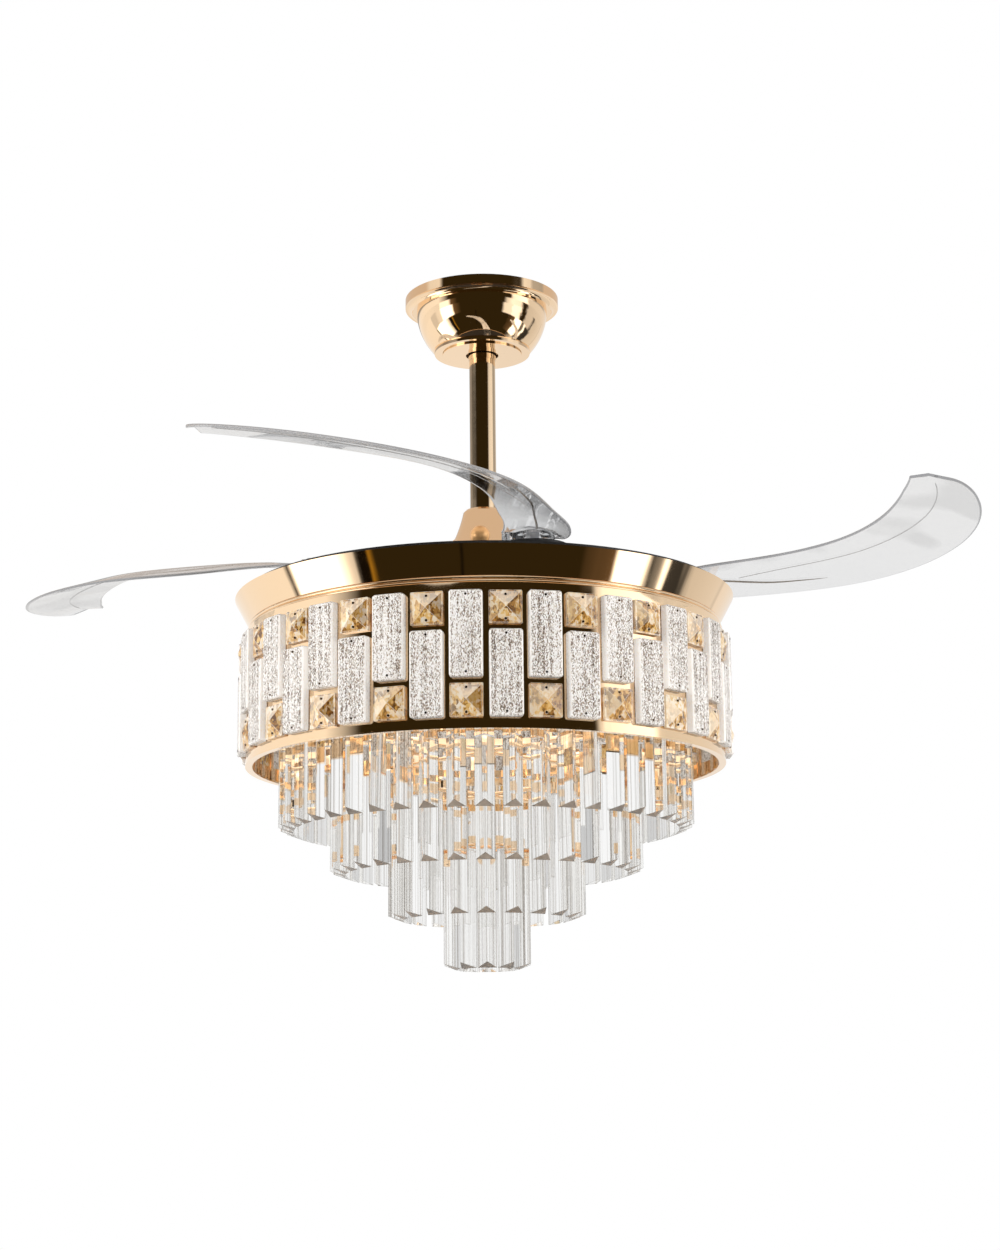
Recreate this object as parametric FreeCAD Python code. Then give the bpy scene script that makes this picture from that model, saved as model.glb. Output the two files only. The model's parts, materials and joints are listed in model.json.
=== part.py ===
"""Ceiling fan with folding clear blades and a crystal light drum, in millimetres, +Z up.

The origin is on the ceiling face, on the axis of the fan. The front is on the -Y side.
"""
import FreeCAD, Part
import math
import os

# Shared clearances and allowances
running_fit = 0.05
rest_gap = 0.3
seat_gap = 0.15
cut_over = 4.0
fastener_head = 1.5

# Ceiling bracket
bracket_radius = 55.0
bracket_plate = 2.5
bracket_bolt_spacing = 89.0
bracket_bolt_radius = 2.75
bracket_wire_radius = 9.0
arm_width = 20.0
arm_thickness = 4.0
seat_wall = 6.0
seat_drop = 18.0
tab_width = 10.0
tab_height = 20.0
tab_thickness = 2.0

# Canopy
canopy_flange_radius = 79.0
canopy_flange_height = 9.5
canopy_lip_radius = 73.5
canopy_lip_height = 4.0
canopy_dome_radius = 67.5
canopy_rim_radius = 49.0
canopy_bead = 3.5
canopy_height = 58.5
canopy_bulge = 4.0
canopy_wall = 1.2
canopy_mouth_radius = 41.0
end_disc_drop = 1.5
end_disc_hole = 16.8
canopy_screw_radius = 2.0
canopy_screw_head = 3.6
canopy_screw_spread = 80.0

# Remote receiver and terminal block
receiver_length = 54.0
receiver_depth = 18.0
receiver_height = 18.0
terminal_length = 30.0
terminal_depth = 12.0
terminal_height = 12.0

# Hanger ball, downrod and its covers
ball_radius = 26.0
ball_centre_drop = 34.0
ball_top_height = 15.0
ball_bottom_height = 20.0
rod_radius = 13.35
rod_wall = 2.2
rod_top_drop = 14.0
rod_bottom_drop = 257.0
rod_pin_radius = 3.0
ball_pin_rise = 6.0
collar_wall = 0.9
collar_bottom_drop = 65.5
bell_top_drop = 226.0
bell_height = 40.0
bell_top_radius = 20.6
bell_foot_radius = 34.5
bell_wall = 1.2
bell_corner = 2.5
bell_flare = 1.4
bell_screw_drop = 257.0
bell_screw_count = 3
bell_screw_head = 7.5
bell_screw_radius = 2.5
bell_screw_turn = -96.5
yoke_radius = 18.5
yoke_top_drop = 232.0
yoke_bottom_drop = 267.0
yoke_pin_drop = 244.0
yoke_screw_radius = 2.5

# Motor
shaft_radius = 7.5
shaft_bore = 4.5
shaft_foot_drop = 366.0
bearing_radius = 17.5
bearing_width = 9.0
race_wall = 2.7
ball_count = 8
bearing_ball_radius = 2.25
motor_top_drop = 301.5
motor_cover_sheet = 3.0
motor_bottom_drop = 350.5
rotor_inner_radius = 89.0
hub_wall = 3.0
upper_bearing_rise = 14.0
lower_bearing_rise = 11.0
magnet_count = 16
magnet_thickness = 4.5
magnet_height = 30.0
stator_gap = 0.8
stator_teeth = 12
stator_hub_radius = 44.0
stator_tooth_width = 11.0
stator_tip = 4.0
stator_height = 26.0
coil_wall = 5.0
coil_end = 3.5

# Blade carrier, the black plate that turns
carrier_rim_drop = 318.5
carrier_sheet = 3.0
ledge_drop = 304.5
ledge_radius = 136.0
ledge_inner_radius = 96.0
guide_radius = 121.0
guide_wall = 3.5
pad_radius = 34.0
pad_wall = 3.0
carrier_screw_count = 6
carrier_screw_radius = 2.5
carrier_screw_head = 4.5

# Gears that keep the blades in step
blade_count = 4
gear_module = 2.5
blade_teeth = 22
sync_teeth = 112
pressure_angle = 20.0
backlash = 0.35
gear_height = 11.0
smooth_radius = 20.5
sync_clip_count = 4
clip_width = 10.0
clip_thickness = 1.6

# Blades
pivot_turn = -73.45
fold_angle = 82.0
lagging_blade = 2
lagging_turn = -7.15
post_radius = 6.0
hub_radius = 10.0
bolt_head_radius = 9.0
blade_length = 524.5
blade_curve_radius = 243.9
blade_heading = 1.89
blade_width = 85.0
blade_thickness = 2.6
blade_crease = 3.2
blade_level = 290.6
blade_root_back = 29.0
blade_edge_drop = 3.0
spring_radius = 13.0
spring_wall = 2.2
spring_height = 8.0

# Conical ring, bead and pan
ring_radius = 250.0
ring_top_drop = 322.5
ring_height = 26.6
ring_sheet = 1.6
ring_flange = 7.0
bead_height = 6.9
bead_inset = 1.6
bead_depth = 5.0
pan_sheet = 2.0
nut_radius = 12.5
nut_height = 22.0

# Drum frame and its crystals
frame_radius = 238.0
frame_sheet = 1.5
frame_bottom_drop = 489.0
column_count = 42
column_turn = 0.65
crystal_width = 30.6
amber_height = 31.0
tall_height = 80.0
crystal_bar = 5.4
frame_rail = 8.4
crystal_corner = 2.6
tall_thickness = 7.4
tall_bevel = 1.2
amber_base = 3.4
amber_peak = 5.2
window_side_inset = 2.0
window_end_inset = 6.6
pin_radius = 1.1
pin_inset = 4.2
pin_proud = 0.5
top_ring_width = 14.0
bottom_ring_width = 7.0
drum_screw_count = 8
drum_screw_radius = 2.0
drum_screw_head = 3.6

# Lamp tray under the pan
tray_inset = 24.0
tray_drop = 392.0
tray_sheet = 1.5
tray_post_count = 4
tray_post_radius = 5.0
tray_post_circle = 170.0
supply_length = 120.0
supply_width = 42.0
supply_height = 24.0
supply_offset = 90.0
lens_circle = 150.0
lens_count = 24
lens_inner_circle = 70.0
lens_inner_count = 10
lens_radius = 8.0
lens_height = 4.0

# Tiers of hanging prisms
tier_radii = [205.0, 154.0, 97.0, 44.4]
tier_bottom_drops = [554.5, 597.0, 641.0, 689.0]
tier_counts = [46, 33, 20, 10]
prism_length = 117.0
prism_width = 18.4
prism_depth = 14.6
prism_cut = 5.0
prism_link = 3.0
tier_band_height = 7.0
tier_band_sheet = 1.6
spoke_radius = 2.2
spoke_count = 4
stem_radius = 5.0
tier_hub_radius = 9.0
finial_height = 16.0
finial_radius = 8.0
link_radius = 0.8

# Blade outline along its length: station shares of blade_length, the rest shares of blade_width
station_shares = [0.0, 0.05, 0.12, 0.25, 0.45, 0.70, 0.90, 1.0]
outer_edge_shares = [-0.341, -0.324, -0.258, -0.121, -0.189, -0.178, -0.149, -0.182]
inner_edge_shares = [0.358, 0.424, 0.546, 0.635, 0.725, 0.819, 0.734, 0.598]
height_station_shares = [-0.055, -0.02, 0.02, 0.15, 0.40, 0.70, 1.0]
inner_height_shares = [0.000, 0.000, 0.012, 0.084, 0.128, 0.161, 0.254]
outer_height_shares = [0.000, -0.005, -0.075, -0.146, -0.158, -0.072, 0.132]
tip_round_share = 0.226

os.makedirs("parts", exist_ok=True)
up = FreeCAD.Vector(0, 0, 1)
centre = FreeCAD.Vector(0, 0, 0)


def vec(x, y, z):
    return FreeCAD.Vector(x, y, z)


def polar(radius, degrees, z=0.0):
    turn = math.radians(degrees)
    return vec(radius * math.cos(turn), radius * math.sin(turn), z)


def rod(radius, low, high, x=0.0, y=0.0):
    return Part.makeCylinder(radius, high - low, vec(x, y, low), up)


def tube(outer, inner, low, high):
    return rod(outer, low, high).cut(rod(inner, low - cut_over, high + cut_over))


def box(x_low, x_high, y_low, y_high, z_low, z_high):
    return Part.makeBox(x_high - x_low, y_high - y_low, z_high - z_low, vec(x_low, y_low, z_low))


def turned(shape, degrees, about=centre):
    copy = shape.copy()
    copy.rotate(about, up, degrees)
    return copy


def around(shape, count, start=0.0):
    return [turned(shape, start + 360.0 * index / count) for index in range(count)]


def spun(start, steps):
    """Solid turned about Z from a closed profile of (radius, z) points.

    A step is a point, or a pair of points for an arc through the first to the second.
    """
    edges = []
    here = vec(start[0], 0, start[1])
    for step in list(steps) + [start]:
        if isinstance(step[0], tuple):
            through = vec(step[0][0], 0, step[0][1])
            there = vec(step[1][0], 0, step[1][1])
            edges.append(Part.Arc(here, through, there).toShape())
        else:
            there = vec(step[0], 0, step[1])
            edges.append(Part.LineSegment(here, there).toShape())
        here = there
    face = Part.Face(Part.Wire(edges))
    solid = face.revolve(centre, up, 360)
    if solid.Volume < 0:
        solid.reverse()
    return solid


def bulge_point(first, second, height):
    """Point beside the middle of a chord of a profile, on its outer side."""
    along = (second[0] - first[0], second[1] - first[1])
    length = math.hypot(along[0], along[1])
    middle = ((first[0] + second[0]) / 2, (first[1] + second[1]) / 2)
    return (middle[0] - along[1] / length * height, middle[1] + along[0] / length * height)


def prism_between(lower, upper):
    """Solid between two polygons with the same number of points."""
    faces = [Part.Face(Part.makePolygon(lower + lower[:1]))]
    faces.append(Part.Face(Part.makePolygon(upper + upper[:1])))
    for index in range(len(lower)):
        following = (index + 1) % len(lower)
        ring = [lower[index], lower[following], upper[following], upper[index], lower[index]]
        faces.append(Part.Face(Part.makePolygon(ring)))
    solid = Part.Solid(Part.Shell(faces))
    if solid.Volume < 0:
        solid.reverse()
    return solid


def cross_rod(radius, length, degrees, z, start=0.0):
    """Round bar that lies flat and points outwards at an angle."""
    direction = polar(1, degrees)
    return Part.makeCylinder(radius, length, direction * start + vec(0, 0, z), direction)


def save(name, pieces):
    pieces = pieces if isinstance(pieces, list) else [pieces]
    solids = []
    for piece in pieces:
        solids.extend(piece.Solids)
    shape = solids[0] if len(solids) == 1 else Part.makeCompound(solids)
    volume = sum(solid.Volume for solid in solids)
    good = all(solid.isValid() and solid.Volume > 0 for solid in solids)
    print(f"{name}: {len(solids)} solids, {volume / 1000:.1f} cm3, valid {good}")
    shape.exportStep(f"parts/{name}.step")
    return shape


# Ceiling bracket: plate, two arms and the ball seat with its side opening
ball_z = -ball_centre_drop
seat_inner = ball_radius + rest_gap
seat_outer = seat_inner + seat_wall


def build_bracket():
    plate = rod(bracket_radius, -bracket_plate, 0)
    plate = plate.cut(rod(bracket_wire_radius, -bracket_plate - cut_over, cut_over))
    seat = rod(seat_outer, ball_z - seat_drop, ball_z)
    bracket = plate.fuse(seat)
    for side in (-1, 1):
        inner = side * (seat_outer - arm_thickness)
        outer = side * seat_outer
        arm = box(min(inner, outer), max(inner, outer), -arm_width / 2, arm_width / 2, ball_z, -bracket_plate)
        bracket = bracket.fuse(arm)
    tab_reach = canopy_inner_radius(canopy_screw_z) - rest_gap
    for side in (-1, 1):
        low = tab_reach - tab_thickness
        tab = box(low, tab_reach, -tab_width / 2, tab_width / 2, -bracket_plate - tab_height, -bracket_plate)
        foot = box(bracket_radius - tab_thickness, tab_reach, -tab_width / 2, tab_width / 2,
                   -bracket_plate, -bracket_plate + tab_thickness)
        tab = tab.fuse(foot)
        hole = Part.makeCylinder(canopy_screw_radius, tab_thickness + 2 * cut_over,
                                 vec(low - cut_over, 0, canopy_screw_z), vec(1, 0, 0))
        tab = tab.cut(hole)
        bracket = bracket.fuse(turned(tab, 90 + side * canopy_screw_spread / 2))
    bracket = bracket.cut(Part.makeSphere(seat_inner, vec(0, 0, ball_z)))
    opening = rod_radius + rest_gap
    bracket = bracket.cut(box(-opening, opening, 0, seat_outer + cut_over, ball_z - seat_drop - cut_over, ball_z))
    bracket = bracket.cut(rod(seat_inner, ball_z, -bracket_plate))
    for side in (-1, 1):
        bracket = bracket.cut(rod(bracket_bolt_radius, -bracket_plate - cut_over, cut_over,
                                  side * bracket_bolt_spacing / 2))
    return bracket.removeSplitter()


# Canopy: spun shell with a stepped flange, and the disc that closes it round the downrod
canopy_shoulder_z = -(canopy_flange_height + canopy_lip_height)
canopy_bead_z = -(canopy_height - canopy_bead)
canopy_screw_z = canopy_shoulder_z - tab_width / 2


def canopy_profile(inset):
    """Outer dome line of the canopy, moved inwards by a wall."""
    top = (canopy_dome_radius - inset, canopy_shoulder_z)
    foot = (canopy_rim_radius + canopy_wall - inset, canopy_bead_z)
    return top, bulge_point(top, foot, canopy_bulge), foot


def canopy_inner_radius(z):
    top, middle, foot = canopy_profile(canopy_wall)
    share = (top[1] - z) / (top[1] - foot[1])
    return top[0] + (foot[0] - top[0]) * share


def build_canopy():
    top, middle, foot = canopy_profile(0)
    inner_top, inner_middle, inner_foot = canopy_profile(canopy_wall)
    lip_z = -canopy_height + canopy_wall
    steps = [
        (canopy_flange_radius, -canopy_flange_height),
        ((canopy_lip_radius, -canopy_flange_height - canopy_lip_height / 4),
         (canopy_lip_radius - canopy_lip_height / 2, canopy_shoulder_z)),
        top,
        (middle, foot),
        (canopy_rim_radius, canopy_bead_z),
        (canopy_rim_radius, -canopy_height),
        (canopy_mouth_radius, -canopy_height),
        (canopy_mouth_radius, lip_z),
        (canopy_rim_radius - canopy_wall, lip_z),
        (canopy_rim_radius - canopy_wall, canopy_bead_z),
        (inner_middle, inner_top),
        (canopy_dome_radius - canopy_wall, -canopy_flange_height + canopy_wall),
        (canopy_flange_radius - canopy_wall, -canopy_flange_height + canopy_wall),
        (canopy_flange_radius - canopy_wall, 0),
    ]
    canopy = spun((canopy_flange_radius, 0), steps)
    for side in (-1, 1):
        degrees = 90 + side * canopy_screw_spread / 2
        canopy = canopy.cut(cross_rod(canopy_screw_radius, canopy_flange_radius, degrees, canopy_screw_z,
                                      canopy_mouth_radius))
    return canopy


def build_end_disc():
    top_z = -canopy_height + 2 * canopy_wall
    rest_z = -canopy_height + canopy_wall
    step_radius = canopy_mouth_radius - rest_gap
    flange_radius = canopy_rim_radius - canopy_wall - rest_gap
    return spun((end_disc_hole, top_z), [
        (flange_radius, top_z),
        (flange_radius, rest_z),
        (step_radius, rest_z),
        (step_radius, -canopy_height - end_disc_drop),
        (end_disc_hole, -canopy_height - end_disc_drop),
    ])


def build_canopy_screws():
    screws = []
    head_start = canopy_dome_radius + rest_gap
    start = canopy_inner_radius(canopy_screw_z) - canopy_wall - 2 * tab_thickness
    for side in (-1, 1):
        degrees = 90 + side * canopy_screw_spread / 2
        shank = cross_rod(canopy_screw_radius - seat_gap, head_start - start, degrees, canopy_screw_z, start)
        head = cross_rod(canopy_screw_head, fastener_head, degrees, canopy_screw_z, head_start)
        screws.append(shank.fuse(head))
    return screws


def build_receiver():
    front = seat_outer + rest_gap
    return box(-receiver_length / 2, receiver_length / 2, -front - receiver_depth, -front,
               -bracket_plate - receiver_height, -bracket_plate)


def build_terminal_block():
    back = seat_outer + rest_gap
    return box(-terminal_length / 2, terminal_length / 2, back, back + terminal_depth,
               -bracket_plate - terminal_height, -bracket_plate)


# Hanger ball, downrod, pins, collar, bell and yoke
rod_bore = rod_radius - rod_wall
ball_pin_z = ball_z + ball_pin_rise


def build_hanger_ball():
    ball = Part.makeSphere(ball_radius, vec(0, 0, ball_z))
    ball = ball.common(rod(ball_radius, ball_z - ball_bottom_height, ball_z + ball_top_height))
    ball = ball.cut(rod(rod_radius + running_fit, ball_z - ball_radius, ball_z + ball_radius))
    return ball.cut(cross_pin(ball_pin_z, ball_radius + cut_over, running_fit))


def cross_pin(z, reach, play):
    return Part.makeCylinder(rod_pin_radius + play, 2 * reach, vec(-reach, 0, z), vec(1, 0, 0))


def build_rod():
    tube_shape = tube(rod_radius, rod_bore, -rod_bottom_drop, -rod_top_drop)
    tube_shape = tube_shape.cut(cross_pin(ball_pin_z, ball_radius, running_fit))
    return tube_shape.cut(cross_pin(-yoke_pin_drop, ball_radius, running_fit))


def build_rod_pins():
    ball_reach = math.sqrt(ball_radius ** 2 - ball_pin_rise ** 2) - fastener_head
    return [cross_pin(ball_pin_z, ball_reach, 0), cross_pin(-yoke_pin_drop, yoke_radius, 0)]


def build_collar():
    return tube(rod_radius + running_fit + collar_wall, rod_radius + running_fit,
                -collar_bottom_drop, ball_z - ball_bottom_height)


bell_foot_z = -(bell_top_drop + bell_height)


def bell_profile(inset):
    top = (bell_top_radius - inset, -bell_top_drop - bell_corner)
    foot = (bell_foot_radius - inset, bell_foot_z)
    return top, bulge_point(top, foot, -bell_flare), foot


def bell_radius(drop):
    top, middle, foot = bell_profile(0)
    share = (drop - bell_top_drop) / bell_height
    sag = 4 * bell_flare * share * (1 - share)
    return bell_top_radius + (bell_foot_radius - bell_top_radius) * share - sag


def build_bell():
    top, middle, foot = bell_profile(0)
    inner_top, inner_middle, inner_foot = bell_profile(bell_wall)
    hole = rod_radius + rest_gap
    bell = spun((hole, -bell_top_drop), [
        (bell_top_radius - bell_corner, -bell_top_drop),
        top,
        (middle, foot),
        inner_foot,
        (inner_middle, inner_top),
        (bell_top_radius - bell_corner, -bell_top_drop - bell_wall),
        (hole, -bell_top_drop - bell_wall),
    ])
    for hole in bell_rods(bell_screw_radius + seat_gap, -bell_screw_head, bell_screw_head):
        bell = bell.cut(hole)
    return bell


def bell_slope(drop):
    """Angle of the bell's side from the vertical, in degrees."""
    step = bell_height / 100
    rise = bell_radius(drop + step) - bell_radius(drop - step)
    return math.degrees(math.atan2(rise, 2 * step))


def bell_screw_turns():
    return [bell_screw_turn + 360.0 * index / bell_screw_count for index in range(bell_screw_count)]


def bell_rods(radius, start, end):
    """Round bars square to the bell's side, measured from its outer face."""
    slope = math.radians(bell_slope(bell_screw_drop))
    face_radius = bell_radius(bell_screw_drop)
    rods = []
    for degrees in bell_screw_turns():
        direction = polar(math.cos(slope), degrees, math.sin(slope))
        place = polar(face_radius, degrees, -bell_screw_drop) + direction * start
        rods.append(Part.makeCylinder(radius, end - start, place, direction))
    return rods


def build_bell_screws():
    slope = math.radians(bell_slope(bell_screw_drop))
    face_radius = bell_radius(bell_screw_drop)
    seat = rest_gap * 2
    screws = []
    shanks = bell_rods(bell_screw_radius, -2 * bell_wall - seat, seat)
    for shank, degrees in zip(shanks, bell_screw_turns()):
        direction = polar(math.cos(slope), degrees, math.sin(slope))
        place = polar(face_radius, degrees, -bell_screw_drop) + direction * seat
        dome = Part.makeSphere(bell_screw_head, place, direction, 0, 90, 360)
        screws.append(shank.fuse(dome))
    return screws


def build_yoke():
    yoke = rod(yoke_radius, -yoke_bottom_drop, -yoke_top_drop)
    yoke = yoke.cut(rod(rod_radius + running_fit, -rod_bottom_drop, -yoke_top_drop + cut_over))
    yoke = yoke.cut(rod(shaft_radius, -yoke_bottom_drop - cut_over, -rod_bottom_drop))
    yoke = yoke.cut(cross_pin(-yoke_pin_drop, ball_radius, running_fit))
    for side in (-1, 1):
        yoke = yoke.cut(cross_rod(yoke_screw_radius, yoke_radius, side * 90, -yoke_pin_drop, 0))
    return yoke


def build_yoke_screws():
    length = yoke_radius + fastener_head - rod_radius - running_fit
    start = rod_radius + running_fit
    return [cross_rod(yoke_screw_radius, length, side * 90, -yoke_pin_drop, start) for side in (-1, 1)]


# Motor: fixed shaft and stator inside a turning housing
upper_bearing_z = -motor_top_drop + upper_bearing_rise
lower_bearing_z = -motor_bottom_drop + lower_bearing_rise
rotor_outer_radius = rotor_inner_radius + motor_cover_sheet
hub_outer_radius = bearing_radius + hub_wall


def build_shaft():
    return tube(shaft_radius, shaft_bore, -shaft_foot_drop, -rod_bottom_drop)


def bearing_places():
    return [upper_bearing_z - bearing_width, lower_bearing_z - bearing_width]


def build_inner_races():
    return [tube(shaft_radius + race_wall, shaft_radius, z, z + bearing_width) for z in bearing_places()]


def build_outer_races():
    return [tube(bearing_radius, bearing_radius - race_wall, z, z + bearing_width) for z in bearing_places()]


def build_bearing_balls():
    circle = (shaft_radius + bearing_radius) / 2
    balls = []
    for z in bearing_places():
        ball = Part.makeSphere(bearing_ball_radius, vec(circle, 0, z + bearing_width / 2))
        balls.extend(around(ball, ball_count))
    return balls


def build_rotor_top():
    top = -motor_top_drop
    low = top - motor_cover_sheet
    hub_top = upper_bearing_z + hub_wall
    step = upper_bearing_z - bearing_width
    cover = spun((shaft_radius + race_wall + rest_gap, hub_top), [
        (hub_outer_radius, hub_top),
        (hub_outer_radius, top),
        (rotor_outer_radius + carrier_screw_head * 3, top),
        (rotor_outer_radius + carrier_screw_head * 3, low),
        (rotor_outer_radius, low),
        (rotor_outer_radius, -motor_bottom_drop + motor_cover_sheet),
        (rotor_inner_radius, -motor_bottom_drop + motor_cover_sheet),
        (rotor_inner_radius, low),
        (bearing_radius, low),
        (bearing_radius, upper_bearing_z),
        (shaft_radius + race_wall + rest_gap, upper_bearing_z),
    ])
    for hole in carrier_screw_holes(low, top):
        cover = cover.cut(hole)
    return cover if step < low else cover


def carrier_screw_holes(low, high):
    circle = rotor_outer_radius + carrier_screw_head * 1.5
    hole = rod(carrier_screw_radius + seat_gap, low - cut_over, high + cut_over, circle)
    return around(hole, carrier_screw_count)


def build_carrier_screws():
    circle = rotor_outer_radius + carrier_screw_head * 1.5
    top = -motor_top_drop
    shank = rod(carrier_screw_radius, -ledge_drop - carrier_sheet, top, circle)
    head = rod(carrier_screw_head, top, top + fastener_head, circle)
    return around(shank.fuse(head), carrier_screw_count)


def build_rotor_bottom():
    low = -motor_bottom_drop
    top = low + motor_cover_sheet
    hub_top = lower_bearing_z
    return spun((shaft_radius + race_wall + rest_gap, low), [
        (rotor_outer_radius, low),
        (rotor_outer_radius, top),
        (hub_outer_radius, top),
        (hub_outer_radius, hub_top),
        (bearing_radius, hub_top),
        (bearing_radius, hub_top - bearing_width),
        (shaft_radius + race_wall + rest_gap, hub_top - bearing_width),
    ])


magnet_middle_z = (-motor_top_drop - motor_cover_sheet - motor_bottom_drop + motor_cover_sheet) / 2


def build_magnets():
    low = magnet_middle_z - magnet_height / 2
    ring = tube(rotor_inner_radius, rotor_inner_radius - magnet_thickness, low, low + magnet_height)
    half = 180.0 / magnet_count * 0.86
    reach = rotor_inner_radius + cut_over
    wedge = Part.makePolygon([vec(0, 0, low), polar(reach, -half, low), polar(reach, half, low), vec(0, 0, low)])
    sector = Part.Face(wedge).extrude(vec(0, 0, magnet_height))
    return around(ring.common(sector), magnet_count)


def build_stator():
    outer = rotor_inner_radius - magnet_thickness - stator_gap
    low = magnet_middle_z - stator_height / 2
    high = low + stator_height
    core = tube(stator_hub_radius, shaft_radius, low, high)
    tooth = box(stator_hub_radius - stator_tip, outer - stator_tip / 2, -stator_tooth_width / 2,
                stator_tooth_width / 2, low, high)
    half = 180.0 / stator_teeth * 0.8
    reach = outer + cut_over
    wedge = Part.makePolygon([vec(0, 0, low), polar(reach, -half, low), polar(reach, half, low), vec(0, 0, low)])
    shoe = tube(outer, outer - stator_tip, low, high).common(Part.Face(wedge).extrude(vec(0, 0, high - low)))
    return core.multiFuse(around(tooth.fuse(shoe), stator_teeth)).removeSplitter()


def build_windings():
    outer = rotor_inner_radius - magnet_thickness - stator_gap - stator_tip
    low = magnet_middle_z - stator_height / 2
    high = low + stator_height
    half = stator_tooth_width / 2
    start = stator_hub_radius + coil_wall
    coil = box(start, outer - stator_gap, -half - coil_wall, half + coil_wall, low - coil_end, high + coil_end)
    core = box(start - cut_over, outer + cut_over, -half, half, low, high)
    return around(coil.cut(core), stator_teeth)


# Blade carrier with a raised ledge for the sync gear and a pad under each blade
carrier_radius = ring_radius - ring_flange
rim_top_z = -carrier_rim_drop
rim_low_z = rim_top_z - carrier_sheet
ledge_z = -ledge_drop
guide_height = gear_height + 2 * rest_gap
sync_inner_radius = guide_radius + guide_wall + running_fit
pivot_circle = gear_module * (blade_teeth + sync_teeth) / 2
sync_pitch_radius = gear_module * sync_teeth / 2
blade_pitch_radius = gear_module * blade_teeth / 2


def pivot_turns():
    return [pivot_turn + 360.0 * index / blade_count for index in range(blade_count)]


def build_carrier():
    ledge_low = ledge_z - carrier_sheet
    carrier = spun((ledge_inner_radius, ledge_z), [
        (guide_radius, ledge_z),
        (guide_radius, ledge_z + guide_height),
        (guide_radius + guide_wall, ledge_z + guide_height),
        (guide_radius + guide_wall, ledge_z),
        (ledge_radius, ledge_z),
        (ledge_radius, rim_top_z),
        (carrier_radius, rim_top_z),
        (carrier_radius, rim_low_z),
        (ledge_radius - carrier_sheet, rim_low_z),
        (ledge_radius - carrier_sheet, ledge_low),
        (ledge_inner_radius, ledge_low),
    ])
    pads = []
    for degrees in pivot_turns():
        place = polar(pivot_circle, degrees)
        pad = rod(pad_radius, rim_low_z, ledge_z, place.x, place.y)
        pads.append(pad.cut(rod(ledge_radius - carrier_sheet, rim_low_z - cut_over, ledge_z + cut_over)))
    carrier = carrier.multiFuse(pads)
    for degrees in pivot_turns():
        place = polar(pivot_circle, degrees)
        hollow = rod(pad_radius - pad_wall, rim_top_z, ledge_low, place.x, place.y)
        hollow = hollow.cut(rod(ledge_radius, rim_low_z, ledge_z))
        carrier = carrier.cut(hollow)
        carrier = carrier.cut(rod(post_radius, rim_low_z - cut_over, ledge_z + cut_over, place.x, place.y))
    for hole in carrier_screw_holes(ledge_low, ledge_z):
        carrier = carrier.cut(hole)
    return carrier.removeSplitter()


# Gears: involute teeth on sectors, plain root circle elsewhere
gear_low_z = ledge_z + rest_gap
gear_top_z = gear_low_z + gear_height


def involute(angle):
    return math.tan(angle) - angle


def tooth_points(teeth, middle_degrees):
    """Points of one tooth from its clockwise root to its other root."""
    pitch = gear_module * teeth / 2
    base = pitch * math.cos(math.radians(pressure_angle))
    root = pitch - 1.25 * gear_module
    tip = pitch + gear_module
    half_pitch = (math.pi * gear_module / 2 - backlash) / (2 * pitch)
    flank = []
    steps = 5
    for step in range(steps + 1):
        radius = root + (tip - root) * step / steps
        angle = math.acos(min(1.0, base / radius)) if radius > base else 0.0
        half = half_pitch + involute(math.radians(pressure_angle)) - involute(angle)
        flank.append((radius, math.degrees(half)))
    points = [polar(radius, middle_degrees - half) for radius, half in flank]
    points += [polar(radius, middle_degrees + half) for radius, half in reversed(flank)]
    return points


def gear_solid(teeth, tooth_angles, low, high, bore, smooth):
    """Gear with teeth at the given angles, in rising order, and a smooth rim between the groups."""
    edges = []
    pitch_angle = 360.0 / teeth
    groups = [tooth_points(teeth, angle) for angle in tooth_angles]
    for index, points in enumerate(groups):
        for first, second in zip(points, points[1:]):
            edges.append(Part.LineSegment(first, second).toShape())
        following = groups[(index + 1) % len(groups)]
        step = (tooth_angles[(index + 1) % len(groups)] - tooth_angles[index]) % 360.0
        if step < 1.5 * pitch_angle:
            edges.append(Part.LineSegment(points[-1], following[0]).toShape())
        else:
            half_tooth = pitch_angle / 2
            first = polar(smooth, tooth_angles[index] + half_tooth)
            middle = polar(smooth, tooth_angles[index] + step / 2)
            last = polar(smooth, tooth_angles[index] + step - half_tooth)
            edges.append(Part.LineSegment(points[-1], first).toShape())
            edges.append(Part.Arc(first, middle, last).toShape())
            edges.append(Part.LineSegment(last, following[0]).toShape())
    face = Part.Face(Part.Wire(edges))
    gear = face.extrude(vec(0, 0, high - low))
    gear.translate(vec(0, 0, low))
    return gear.cut(rod(bore, low - cut_over, high + cut_over))


def build_sync_gear():
    pitch_angle = 360.0 / sync_teeth
    travel = fold_angle * blade_teeth / sync_teeth
    before = math.ceil((travel + 8.0) / pitch_angle)
    after = math.ceil(8.0 / pitch_angle)
    angles = []
    for degrees in pivot_turns():
        angles += [degrees + (index + 0.5) * pitch_angle for index in range(-before, after)]
    smooth = sync_pitch_radius - 1.25 * gear_module
    return gear_solid(sync_teeth, angles, gear_low_z, gear_top_z, sync_inner_radius, smooth)


def build_blade_gear(index):
    pitch_angle = 360.0 / blade_teeth
    after = math.ceil((fold_angle + 14.0) / pitch_angle)
    angles = [180 + step * pitch_angle for step in range(-1, after + 1)]
    gear = gear_solid(blade_teeth, angles, gear_low_z, gear_top_z, post_radius + running_fit, smooth_radius)
    hub = rod(hub_radius, gear_top_z, -blade_level + hub_rise)
    hub = hub.cut(rod(post_radius + running_fit, gear_low_z, gear_top_z + cut_over * 4))
    return to_pivot(gear.fuse(hub), index)


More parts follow.
